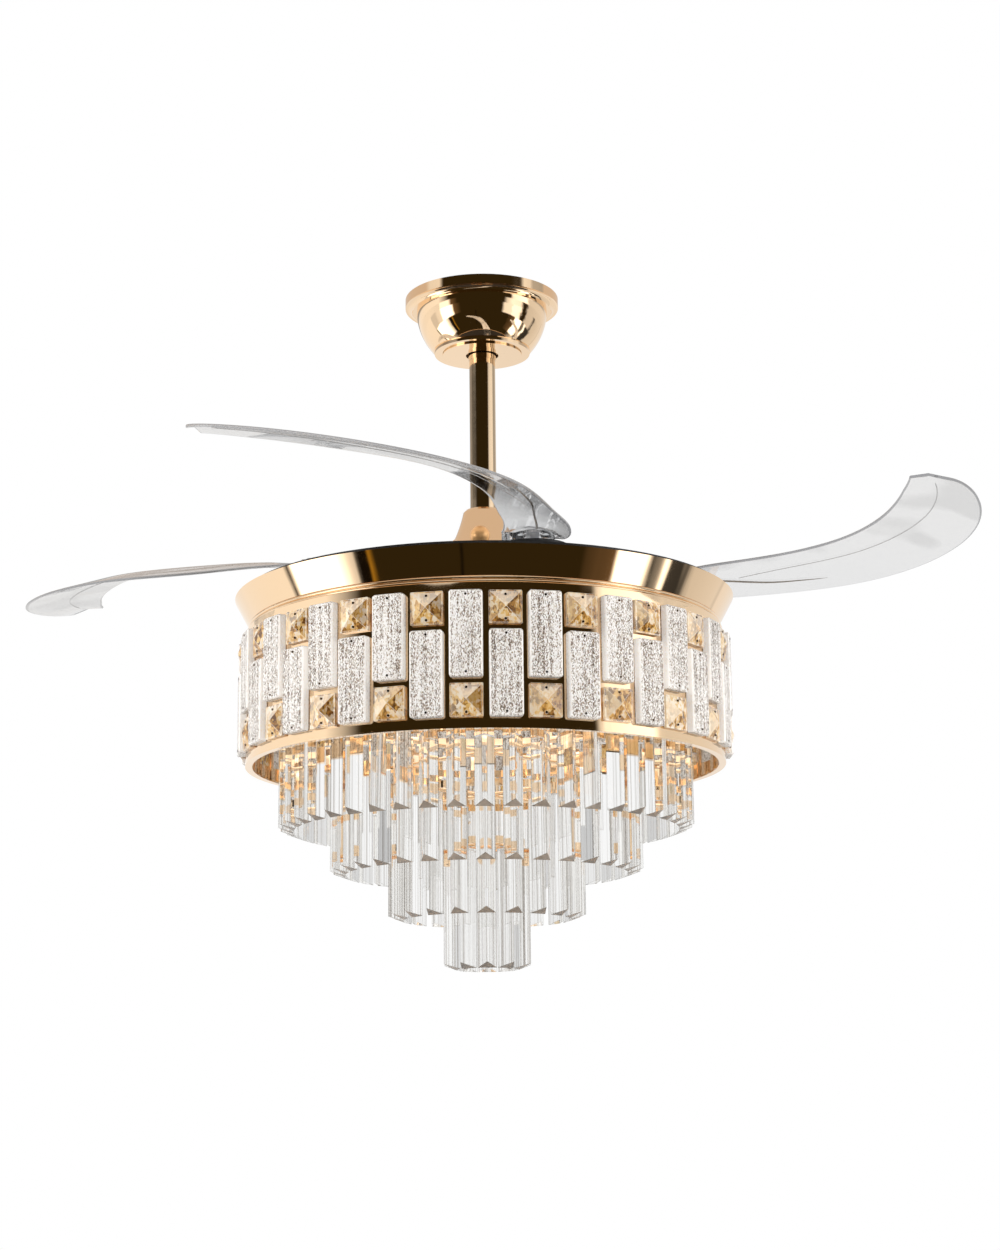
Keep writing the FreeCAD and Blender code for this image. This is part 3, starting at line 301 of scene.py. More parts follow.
coilLook = dict(colour=(0.55, 0.2, 0.07), rough=0.3, bands=320.0, waver=0.6, bump=0.5,
                shades=[(0.0, (0.28, 0.08, 0.03)), (0.6, (0.62, 0.25, 0.09))])
coreLook = dict(colour=(0.3, 0.31, 0.33), rough=0.4, bands=500.0, bump=0.4)


# turns of enamelled wire, as fine bands
def windingMaterial(s):
    material, tree, shader = principled("enamelledCopper", s["colour"], Metallic=1.0, Roughness=s["rough"])
    vector = objectPlace(tree)
    wave = addNode(tree, "ShaderNodeTexWave", wave_type="BANDS", bands_direction="Z")
    wave.inputs["Scale"].default_value = s["bands"]
    wave.inputs["Distortion"].default_value = s["waver"]
    tree.links.new(vector, wave.inputs["Vector"])
    colour = rampNode(tree, wave.outputs["Fac"], s["shades"])
    tree.links.new(colour, shader.inputs["Base Color"])
    addBump(tree, shader, wave.outputs["Fac"], s["bump"], bumpDepth["coil"])
    return material


# stacked sheets of steel
def laminateMaterial(s):
    material, tree, shader = principled("laminatedSteel", s["colour"], Metallic=1.0, Roughness=s["rough"])
    vector = objectPlace(tree)
    wave = addNode(tree, "ShaderNodeTexWave", wave_type="BANDS", bands_direction="Z")
    wave.inputs["Scale"].default_value = s["bands"]
    tree.links.new(vector, wave.inputs["Vector"])
    addBump(tree, shader, wave.outputs["Fac"], s["bump"], bumpDepth["core"])
    return material


clearFinishes = dict(
    blade=dict(colour=(0.82, 0.823, 0.826), grazing=(0.30, 0.30, 0.30), edge=(0.35, 0.35, 0.35), ior=1.44,
               rough=0.015, ripple=0.06, scale=11.0, radius=0.0004, depth=5.5, deep=(0.42, 0.42, 0.43),
               patch=7.0, shade=0.5),
    # the rib and the fold are clear plastic: their darker colours are painted shade along these lines
    rib=dict(colour=(0.30, 0.26, 0.22), grazing=(0.06, 0.05, 0.04), edge=(0.5, 0.48, 0.46), ior=1.6,
             rough=0.01, ripple=0.0, scale=11.0, radius=0.0001, depth=4.5, deep=(0.09, 0.07, 0.05),
             patch=7.0, shade=0.0),
    fold=dict(colour=(0.60, 0.59, 0.58), grazing=(0.2, 0.2, 0.2), edge=(0.5, 0.48, 0.46), ior=1.6,
              rough=0.01, ripple=0.0, scale=11.0, radius=0.0001, depth=4.5, deep=(0.3, 0.3, 0.3),
              patch=7.0, shade=0.0),
    bladeGear=dict(colour=(0.88, 0.885, 0.89), grazing=(0.40, 0.40, 0.41), edge=(0.16, 0.16, 0.17), ior=1.46,
                   rough=0.02, ripple=0.1, scale=60.0, radius=0.0005, depth=5.5, deep=(0.5, 0.51, 0.52),
                   patch=7.0, shade=0.0),
)
# what all clear pieces share: where painted shade darkens them when seen edge-on, and where darker patches
# begin
clearShared = dict(blend=0.5, steep=[(0.72, 0.0), (0.97, 1.0)], patchFrom=0.52, patchTo=0.57, patchTone=0.7)


def clearMaterial(name, s):
    material, tree, shader = principled(
        name, s["colour"], Roughness=s["rough"], IOR=s["ior"], Transmission_Weight=1.0)
    facing = addNode(tree, "ShaderNodeLayerWeight")
    facing.inputs["Blend"].default_value = clearShared["blend"]
    steep = rampNode(tree, facing.outputs["Facing"], clearShared["steep"])
    cloud = noiseNode(tree, objectPlace(tree), s["patch"])
    patch = rampNode(tree, cloud, [(clearShared["patchFrom"], 0.0), (clearShared["patchTo"], s["shade"])])
    darker = tuple(clearShared["patchTone"] * part for part in s["colour"])
    sheet = mixColour(tree, patch, s["colour"], darker)
    body = mixColour(tree, steep, sheet, s["grazing"])
    # cut edges take a painted colour: painted shade on blade, fold and gear, a painted highlight on the rib
    edge = useGroup(tree, cutEdges, Radius=s["radius"])
    tree.links.new(mixColour(tree, edge.outputs["Edge"], body, s["edge"]), shader.inputs["Base Color"])
    slow = noiseNode(tree, objectPlace(tree), s["scale"], detail=1.0)
    addBump(tree, shader, slow, s["ripple"], bumpDepth["clear"])
    endDeepRays(tree, shader, s["depth"], s["deep"])
    return material


prismLook = dict(body=(0.99, 0.99, 0.987), end=(0.035, 0.025, 0.017), ior=1.4, turnedDown=-0.3, lines=620.0,
                 lineShades=[(0.0, (0.34, 0.31, 0.28)), (0.37, (0.46, 0.43, 0.40)),
                             (0.41, (0.99, 0.99, 0.985))],
                 edge=(0.40, 0.38, 0.35), radius=0.0007, grazing=(0.88, 0.88, 0.87), depth=6.5,
                 deep=(0.95, 0.945, 0.935), blend=0.35, endGrain=260.0, endFrom=0.3, endTo=0.7, endGain=1.9,
                 endRough=0.3)


# cut prism: its end faces, which look down, are made rough and painted dark brown with a fine grain, a
# painted reflection of the drum's inside, and read as grey triangles
def prismMaterial(s):
    material, tree, shader = principled("prismGlass", s["body"], Roughness=0.0, IOR=s["ior"],
                                        Transmission_Weight=1.0)
    face = addNode(tree, "ShaderNodeNewGeometry")
    axes = addNode(tree, "ShaderNodeSeparateXYZ")
    tree.links.new(face.outputs["True Normal"], axes.inputs[0])
    end = mathNode(tree, "LESS_THAN", axes.outputs["Z"], s["turnedDown"])
    fine = noiseNode(tree, objectPlace(tree), s["endGrain"])
    pale = tuple(s["endGain"] * part for part in s["end"])
    paintedEnd = rampNode(tree, fine, [(s["endFrom"], s["end"]), (s["endTo"], pale)])
    # thin upright lines of painted shade, the same all the way down a prism
    drawn = noiseNode(tree, objectPlace(tree, (1, 1, 0)), s["lines"], detail=1.0)
    lined = rampNode(tree, drawn, s["lineShades"])
    # seen edge-on, the prism is painted greyer: painted shade
    facing = addNode(tree, "ShaderNodeLayerWeight")
    facing.inputs["Blend"].default_value = s["blend"]
    side = mixColour(tree, facing.outputs["Facing"], lined, s["grazing"])
    # cut edges are painted darker: painted shade
    edge = useGroup(tree, cutEdges, Radius=s["radius"])
    cut = mixColour(tree, edge.outputs["Edge"], side, s["edge"])
    tree.links.new(mixColour(tree, end, cut, paintedEnd), shader.inputs["Base Color"])
    tree.links.new(mathNode(tree, "MULTIPLY", end, s["endRough"]), shader.inputs["Roughness"])
    endDeepRays(tree, shader, s["depth"], s["deep"])
    return material


amberLook = dict(colour=(0.9, 0.7, 0.4), shards=210.0, splinters=520.0, shardShare=0.65, splinterShare=0.35,
                 stretch=0.7, clear=0.3, ior=1.9, rough=0.02, variety=19.0, apart=(0.38, 0.62), least=0.25,
                 tilted=(0.56, 0.62), depth=4.5, deep=(0.75, 0.58, 0.34),
                 shades=[(0.0, (0.07, 0.028, 0.006)), (0.26, (0.15, 0.065, 0.015)),
                         (0.30, (0.38, 0.19, 0.05)), (0.44, (0.60, 0.31, 0.07)),
                         (0.48, (0.84, 0.52, 0.15)), (0.66, (0.93, 0.66, 0.27)),
                         (0.70, (1.0, 0.86, 0.58)), (0.86, (1.0, 0.95, 0.82)), (1.0, (1.0, 0.98, 0.94))],
                 paintedFacetShading=dict(upper=((1.0, 0.93, 0.80), 0.62), lower=((0.62, 0.36, 0.13), 0.3),
                             left=((1.0, 0.88, 0.68), 0.75), right=((0.16, 0.07, 0.018), 0.55)),
                 edge=(1.0, 0.95, 0.85), radius=0.0009)


# amber crystal: shards of light and dark amber are painted reflections of the cut, and each facet is painted
# lighter or darker by the way it faces, more on some crystals than on others
def amberMaterial(s):
    material, tree, shader = principled("amberCrystal", s["colour"], Roughness=s["rough"], IOR=s["ior"],
                                        Transmission_Weight=s["clear"])
    vector = objectPlace(tree, (1, 1, s["stretch"]))
    shades = []
    for scale, share in ((s["shards"], s["shardShare"]), (s["splinters"], s["splinterShare"])):
        cells = addNode(tree, "ShaderNodeTexVoronoi", feature="F1", distance="MANHATTAN")
        cells.inputs["Scale"].default_value = scale
        tree.links.new(vector, cells.inputs["Vector"])
        shade = addNode(tree, "ShaderNodeSeparateColor")
        tree.links.new(cells.outputs["Color"], shade.inputs[0])
        shades.append(mathNode(tree, "MULTIPLY", shade.outputs[0], share))
    mixed = mathNode(tree, "ADD", shades[0], shades[1])
    colour = rampNode(tree, mixed, s["shades"])
    face = addNode(tree, "ShaderNodeNewGeometry")
    axes = addNode(tree, "ShaderNodeSeparateXYZ")
    tree.links.new(face.outputs["True Normal"], axes.inputs[0])
    turned = roundDrum(tree, face)
    # how strongly a facet takes its painted light or shade differs from crystal to crystal
    own = noiseNode(tree, objectPlace(tree), s["variety"], detail=0.0)
    low, high = s["apart"]
    more = rampNode(tree, own, [(low, s["least"]), (high, 1.0)])
    less = rampNode(tree, own, [(low, 1.0), (high, s["least"])])
    upright = axes.outputs["Z"]
    for source, way, name, share in ((upright, 1.0, "upper", more), (upright, -1.0, "lower", less),
                                     (turned, -1.0, "left", less), (turned, 1.0, "right", more)):
        paintedTone, most = s["paintedFacetShading"][name]
        tilt = mathNode(tree, "ADD", mathNode(tree, "MULTIPLY", source, 0.5 * way), 0.5)
        mask = rampNode(tree, tilt, [(s["tilted"][0], 0.0), (s["tilted"][1], most)])
        colour = mixColour(tree, mathNode(tree, "MULTIPLY", mask, share), colour, paintedTone)
    # cut edges are painted pale: painted highlight
    edge = useGroup(tree, cutEdges, Radius=s["radius"])
    tree.links.new(mixColour(tree, edge.outputs["Edge"], colour, s["edge"]), shader.inputs["Base Color"])
    endDeepRays(tree, shader, s["depth"], s["deep"])
    return material


# the part of a face's normal that runs round the drum: it tells a left facet from a right one
def roundDrum(tree, face):
    flat = addNode(tree, "ShaderNodeVectorMath", operation="MULTIPLY")
    flat.inputs[1].default_value = (1, 1, 0)
    outward = addNode(tree, "ShaderNodeVectorMath", operation="NORMALIZE")
    around = addNode(tree, "ShaderNodeVectorMath", operation="CROSS_PRODUCT")
    turned = addNode(tree, "ShaderNodeSeparateXYZ")
    tree.links.new(face.outputs["Position"], flat.inputs[0])
    tree.links.new(flat.outputs[0], outward.inputs[0])
    tree.links.new(outward.outputs[0], around.inputs[0])
    tree.links.new(face.outputs["True Normal"], around.inputs[1])
    tree.links.new(around.outputs[0], turned.inputs[0])
    return turned.outputs["Z"]


crackle = dict(colour=(0.9, 0.9, 0.88), rough=0.12, ior=1.55, fineCells=1.2, fineHeight=0.5, patches=60.0,
               columnStretch=0.02, cellShare=0.55, columnShare=0.6, patchShare=0.2, middle=0.70, contrast=1.9,
               sideTurn=0.5, paleShare=0.75, cells=1900.0, stretch=0.42, bump=0.9, columns=420.0,
               side=(0.98, 0.965, 0.94), radius=0.0009,
               paintedGlow=(0.04, 0.039, 0.037), paintedSideGlow=(0.26, 0.255, 0.245),
               flecks=[(0.0, (0.09, 0.055, 0.03)), (0.2, (0.30, 0.21, 0.14)), (0.33, (0.64, 0.57, 0.49)),
                       (0.46, (0.93, 0.925, 0.91)), (1.0, (1.0, 1.0, 1.0))])


# crackled clear crystal: fine cells that run down the plate; their dark, warm and white flecks are painted
# reflections and glints
def hammeredMaterial(s):
    material, tree, shader = principled("crackledCrystal", s["colour"], Roughness=s["rough"],
                                        IOR=s["ior"])
    vector = objectPlace(tree, (1, 1, s["stretch"]))
    cells = addNode(tree, "ShaderNodeTexVoronoi", feature="F1")
    cells.inputs["Scale"].default_value = s["cells"]
    tree.links.new(vector, cells.inputs["Vector"])
    fine = noiseNode(tree, vector, s["cells"] * s["fineCells"], detail=1.0)
    column = noiseNode(tree, objectPlace(tree, (1, 1, s["columnStretch"])), s["columns"], detail=1.0)
    patch = noiseNode(tree, objectPlace(tree), s["patches"], detail=1.0)
    shade = addNode(tree, "ShaderNodeSeparateColor")
    tree.links.new(cells.outputs["Color"], shade.inputs[0])
    streaks = mathNode(tree, "ADD", mathNode(tree, "MULTIPLY", column, s["columnShare"]),
                       mathNode(tree, "MULTIPLY", patch, s["patchShare"]))
    mixed = mathNode(tree, "ADD", mathNode(tree, "MULTIPLY", shade.outputs[0], s["cellShare"]), streaks)
    spread = mathNode(tree, "MULTIPLY", mathNode(tree, "SUBTRACT", mixed, s["middle"]), s["contrast"])
    body = rampNode(tree, mathNode(tree, "ADD", spread, 0.5), s["flecks"])
    face = addNode(tree, "ShaderNodeNewGeometry")
    # sides round the drum and cut edges are painted paler: painted light
    side = mathNode(tree, "GREATER_THAN", mathNode(tree, "ABSOLUTE", roundDrum(tree, face)), s["sideTurn"])
    edge = useGroup(tree, cutEdges, Radius=s["radius"])
    pale = mathNode(tree, "MULTIPLY", mathNode(tree, "MAXIMUM", side, edge.outputs["Edge"]), s["paleShare"])
    tree.links.new(mixColour(tree, pale, body, s["side"]), shader.inputs["Base Color"])
    # a painted glow on the whole plate, stronger on the cut sides and edges, in place of the light of the
    # lamps inside the drum
    tree.links.new(mixColour(tree, pale, s["paintedGlow"], s["paintedSideGlow"]), shader.inputs["Emission Color"])
    shader.inputs["Emission Strength"].default_value = 1.0
    height = mathNode(tree, "ADD", cells.outputs["Distance"],
                      mathNode(tree, "MULTIPLY", fine, s["fineHeight"]))
    addBump(tree, shader, height, s["bump"], bumpDepth["crackle"])
    return material


glowGrain = dict(Spread=0.1, Scale=900.0)


# lit lenses of the lamps, and the white tray under them, which is given a painted glow
def glowMaterial(name, colour, strength, rough):
    material, tree, shader = principled(name, colour, Roughness=rough)
    shader.inputs["Emission Color"].default_value = (*colour, 1.0)
    shader.inputs["Emission Strength"].default_value = strength
    grain = useGroup(tree, fineGrain, Base=rough, **glowGrain)
    tree.links.new(grain.outputs["Roughness"], shader.inputs["Roughness"])
    return material


materials = dict(
    bracket_steel=metalMaterial("bracketSteel", finishes["bracket"]),
    gold_plate=metalMaterial("roseGoldPlate", finishes["gold"]),
    bare_steel=metalMaterial("turnedSteel", finishes["steel"]),
    black_cover=plainMaterial("satinBlackCover", finishes["black"]),
    black_gear=plainMaterial("blackGear", finishes["gearBlack"]),
    motor_paint=plainMaterial("motorPaint", finishes["paint"]),
    stator_steel=laminateMaterial(coreLook),
    copper_wire=windingMaterial(coilLook),
    magnet=plainMaterial("magnetCoat", finishes["magnet"]),
    clear_blade=clearMaterial("clearBlade", clearFinishes["blade"]),
    clear_gear=clearMaterial("clearGear", clearFinishes["bladeGear"]),
    pan_white=plainMaterial("panCoat", finishes["pan"]),
    amber_glass=amberMaterial(amberLook),
    clear_glass=hammeredMaterial(crackle),
    prism_glass=prismMaterial(prismLook),
    lens_plastic=glowMaterial("lampLens", (1.0, 0.97, 0.92), 2.2, 0.3),
    white_plastic=plainMaterial("whiteBox", finishes["white"]),
    tray_alu=glowMaterial("lampTray", (0.96, 0.96, 0.95), 0.85, 0.35),
)
tubeGold = metalMaterial("tubeGold", finishes["tube"])
domeGold = metalMaterial("domeGold", finishes["dome"])
pinBronze = metalMaterial("pinBronze", finishes["pin"])
beadClear = {name: clearMaterial(name + "Clear", clearFinishes[name]) for name in ("rib", "fold")}
ownMaterials = dict(downrod=tubeGold, downrod_collar=tubeGold, crystal_pins=pinBronze)

slotOf = {part["node"]: part["material_slot"] for part in frame["record"]["subparts"]}
for name, node in nodes.items():
    material = ownMaterials.get(name) or materials[slotOf[name]]
    if not node.material_slots:
        node.data.materials.append(material)
    for holder in node.material_slots:
        holder.material = material
print("materials set")


# Blades: clear swept shells on the lines of the solids, with round edges and a moulded rib from the hub
bladeForm = dict(
    length=0.5245, curve=0.2439, heading=1.89, width=0.085, level=-0.2906, thickness=0.0026, crease=0.0032,
    pivot=0.1675, turn=-73.45, lag=7.15, lagging=2, rootBack=0.029, tipShare=0.226, hole=0.0102, drop=0.003,
    gearRim=0.022, along=200, across=26, rootRows=16, crowd=1.6, rimShare=0.6, tipPower=2.5, tipLeast=0.004,
    rootLeast=0.05, creaseRise=0.1, dropReach=1.5, drillRows=64, drillReach=0.02, sharp=50,
    stationShares=[0.0, 0.05, 0.12, 0.25, 0.45, 0.70, 0.90, 1.0],
    outerShares=[-0.341, -0.324, -0.258, -0.121, -0.189, -0.178, -0.149, -0.182],
    innerShares=[0.358, 0.424, 0.546, 0.635, 0.725, 0.819, 0.734, 0.598],
    heightStationShares=[-0.055, -0.02, 0.02, 0.15, 0.40, 0.70, 1.0],
    innerHeightShares=[0.000, 0.000, 0.012, 0.084, 0.128, 0.161, 0.254],
    outerHeightShares=[0.000, -0.005, -0.075, -0.146, -0.158, -0.072, 0.132],
    rib=dict(stations=[0.05, 0.145, 0.265, 0.33, 0.38], ways=[0.5, 0.53, 0.70, 0.735, 0.76], radius=0.0011,
             fade=0.16, glass="rib"),
    fold=dict(stations=[0.20, 0.262, 0.344, 0.52, 0.60, 0.725, 0.80, 0.92, 0.965],
              ways=[0.52, 0.438, 0.38, 0.375, 0.38, 0.406, 0.43, 0.455, 0.45], radius=0.00045,
              fade=0.02, glass="fold"))
beadForm = dict(steps=90, around=12, endLeast=0.02, startReach=0.01, startLeast=0.3)


# smooth curve through a table of shares
def smoothTable(stations, values, share):
    stations, values = np.array(stations), np.array(values)
    gaps = np.diff(values) / np.diff(stations)
    slopes = np.concatenate([gaps[:1], (gaps[:-1] + gaps[1:]) / 2, gaps[-1:]])
    share = np.clip(share, stations[0], stations[-1])
    index = np.clip(np.searchsorted(stations, share, side="right") - 1, 0, len(stations) - 2)
    width = stations[index + 1] - stations[index]
    t = (share - stations[index]) / width
    return ((2 * t ** 3 - 3 * t ** 2 + 1) * values[index] + (t ** 3 - 2 * t ** 2 + t) * width * slopes[index]
            + (3 * t ** 2 - 2 * t ** 3) * values[index + 1] + (t ** 3 - t ** 2) * width * slopes[index + 1])


# middle of the sheet: its two edges lean on the tables, the line between them bows up at the crease and
# follows an arc of the curve radius, and round the hub the sheet is lifted level with the gear
def bladeMiddle(s, share, way):
    outer = smoothTable(s["stationShares"], s["outerShares"], share) * s["width"]
    inner = smoothTable(s["stationShares"], s["innerShares"], share) * s["width"]
    outerZ = smoothTable(s["heightStationShares"], s["outerHeightShares"], share) * s["width"]
    innerZ = smoothTable(s["heightStationShares"], s["innerHeightShares"], share) * s["width"]
    past = np.clip((share - 1 + s["tipShare"]) / s["tipShare"], 0, 1)
    keep = np.sqrt(np.maximum(1 - past ** s["tipPower"], s["tipLeast"]))
    middle, middleZ = (outer + inner) / 2, (outerZ + innerZ) / 2
    outer = middle + (outer - middle) * keep
    outerZ = middleZ + (outerZ - middleZ) * keep
    back = np.clip(-share * s["length"] / s["rootBack"], 0, 1)
    keepRoot = np.sqrt(np.maximum(1 - back ** 2, s["rootLeast"]))
    outer, inner = outer * keepRoot, inner * keepRoot
    start = math.radians(s["heading"])
    heading = start - share * s["length"] / s["curve"]
    e = inner + (outer - inner) * way
    x = (math.sin(start) - np.sin(heading)) * s["curve"] + np.sin(heading) * e
    y = (np.cos(heading) - math.cos(start)) * s["curve"] - np.cos(heading) * e
    height = innerZ + (outerZ - innerZ) * way
    height = height + s["crease"] * np.clip(share / s["creaseRise"], 0, 1) * (1 - np.abs(2 * way - 1))
    far = np.clip((np.hypot(x, y) - s["gearRim"]) / (s["drop"] * s["dropReach"]), 0, 1)
    plateau = 1 - far * far * (3 - 2 * far)
    return x, y, s["level"] + height + plateau * np.maximum(-height, 0), inner - outer


# rings round the section, from root to tip: over the sheet's top and back along its underside
def bladePoints(s):
    back = s["rootBack"] / s["length"]
    root = -back * np.cos(np.linspace(0, math.pi / 2, s["rootRows"]))[:-1]
    # the stations crowd towards the tip, where the sheet narrows fast
    share = np.concatenate([root, 1 - (1 - np.linspace(0, 1, s["along"])) ** s["crowd"]])[:, None]
    turn = np.linspace(0, 2 * math.pi, 2 * s["across"], endpoint=False)[None, :]
    way = (1 - np.cos(turn)) / 2 + 0 * share
    x, y, z, width = bladeMiddle(s, share, way)
    # the section is as thick as the sheet but for its round edges
    rim = s["thickness"] * s["rimShare"] / width
    near = np.clip(1 - np.minimum(way, 1 - way) / rim, 0, 1)
    half = s["thickness"] / 2 * np.sqrt(1 - near ** 2)
    z = z + np.where(np.sin(turn) >= -1e-9, half, -half)
    return np.stack([x, y, z], axis=-1)


# the rib runs from the hub along the underside and fades out; the fold is a finer line on to the tip
def ribPoints(s, line):
    share = np.linspace(line["stations"][0], line["stations"][-1], beadForm["steps"])
    way = smoothTable(line["stations"], line["ways"], share)
    x, y, z, _ = bladeMiddle(s, share, way)
    spine = np.stack([x, y, z - s["thickness"] / 2], axis=-1)
    along = np.gradient(spine, axis=0)
    along /= np.linalg.norm(along, axis=1, keepdims=True)
    aside = np.cross(along, [0, 0, 1.0])
    aside /= np.linalg.norm(aside, axis=1, keepdims=True)
    below = np.cross(along, aside)
    start = (share - share[0]) / beadForm["startReach"] + beadForm["startLeast"]
    end = (share[-1] - share) / line["fade"]
    fade = np.sqrt(np.clip(end, beadForm["endLeast"], 1) * np.clip(start, 0, 1))
    turn = np.linspace(0, 2 * math.pi, beadForm["around"], endpoint=False)[None, :, None]
    reach = (line["radius"] * fade)[:, None, None]
    return spine[:, None] + reach * (np.cos(turn) * aside[:, None] + np.sin(turn) * below[:, None])


# a closed tube of rings, with a cap at each end
def ringMesh(name, points):
    rows, count = points.shape[:2]
    mesh = bpy.data.meshes.new(name)
    start = (np.arange(rows - 1) * count)[:, None]
    this = np.arange(count)[None, :]
    following = (this + 1) % count
    quads = np.stack([start + this, start + following,
                      start + count + following, start + count + this], axis=-1)
    caps = [list(range(count - 1, -1, -1)), list(range((rows - 1) * count, rows * count))]
    mesh.from_pydata(points.reshape(-1, 3).tolist(), [], quads.reshape(-1, 4).tolist() + caps)
    return mesh


# the shell with a round hole for the hub
def holedMesh(name, mesh, s):
    blank = bpy.data.objects.new(name + "Blank", mesh)
    turn = np.linspace(0, 2 * math.pi, s["drillRows"], endpoint=False)
    circle = np.stack([s["hole"] * np.cos(turn), s["hole"] * np.sin(turn), 0 * turn], axis=-1)
    levels = np.array([s["level"] - s["drillReach"], s["level"] + s["drillReach"]])[:, None, None]
    drill = ringMesh("drill", circle[None] + levels * np.array([0, 0, 1.0]))
    cutter = bpy.data.objects.new("drillBlank", drill)
    for piece in (blank, cutter):
        bpy.context.scene.collection.objects.link(piece)
    cut = blank.modifiers.new("hole", "BOOLEAN")
    cut.operation, cut.solver, cut.object = "DIFFERENCE", "EXACT", cutter
    bpy.context.view_layer.update()
    holed = bpy.data.meshes.new_from_object(blank.evaluated_get(bpy.context.evaluated_depsgraph_get()))
    for piece in (blank, cutter):
        bpy.data.objects.remove(piece)
    return holed


def buildBlades(s):
    blank = ringMesh("bladeShell", bladePoints(s))
    blank.validate()
    holed = holedMesh("bladeShell", blank, s)
    for index in range(4):
        lag = -s["lag"] if index + 1 == s["lagging"] else 0.0
        place = (Matrix.Rotation(math.radians(s["turn"] + 90 * index), 4, "Z")
                 @ Matrix.Translation((s["pivot"], 0, 0)) @ Matrix.Rotation(math.radians(lag), 4, "Z"))
        mesh = holed.copy()
        mesh.transform(place)
        mesh.polygons.foreach_set("use_smooth", [True] * len(mesh.polygons))
        mesh.set_sharp_from_angle(angle=math.radians(s["sharp"]))
        lines = [("bladeShell", mesh, materials["clear_blade"])]
        for title, line in (("bladeRib", s["rib"]), ("bladeFold", s["fold"])):
            bead = ringMesh(title, ribPoints(s, line))
            bead.transform(place)
            bead.polygons.foreach_set("use_smooth", [True] * len(bead.polygons))
            lines.append((title, bead, beadClear[line["glass"]]))
        for title, data, material in lines:
            data.materials.clear()
            data.materials.append(material)
            piece = bpy.data.objects.new("%s%d" % (title, index + 1), data)
            bpy.context.scene.collection.objects.link(piece)
            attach(piece, "blade_set_%d" % (index + 1))
            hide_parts("blade_%d" % (index + 1))


buildBlades(bladeForm)
print("blades built")


# Dome nuts on the bell: fuller than the plain screws, on the same three places of the bell's side
domeForm = dict(radius=0.0098, drop=0.2592, bellTop=0.226, bellHeight=0.040, topRadius=0.0206,
                footRadius=0.0345, turn=-96.5, count=3, sink=0.001, rows=14, columns=40, cap=0.97)


# each nut is half a sphere of rings, from its rim up to a small flat cap, square to the bell's side
def buildDomes(s):
    slope = math.atan2(s["footRadius"] - s["topRadius"], s["bellHeight"])
    reach = s["topRadius"] + (s["drop"] - s["bellTop"]) * math.tan(slope) - s["sink"]
    lift = np.linspace(0, math.pi / 2 * s["cap"], s["rows"])[:, None]
    turn = np.linspace(0, 2 * math.pi, s["columns"], endpoint=False)[None, :]
    rim = np.cos(lift)
    dome = s["radius"] * np.stack([np.sin(lift) + 0 * turn, rim * np.cos(turn), rim * np.sin(turn)], axis=-1)
    for index in range(s["count"]):
        mesh = ringMesh("bellDome", dome)
        mesh.transform(Matrix.Rotation(math.radians(s["turn"] + 360 / s["count"] * index), 4, "Z")
                       @ Matrix.Translation((reach, 0, -s["drop"])) @ Matrix.Rotation(-slope, 4, "Y"))
        mesh.polygons.foreach_set("use_smooth", [True] * len(mesh.polygons))
        mesh.materials.append(domeGold)
        piece = bpy.data.objects.new("bellDome%d" % (index + 1), mesh)
        bpy.context.scene.collection.objects.link(piece)
        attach(piece, "hanging_set")
        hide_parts("bell_screws")


buildDomes(domeForm)
print("domes built")


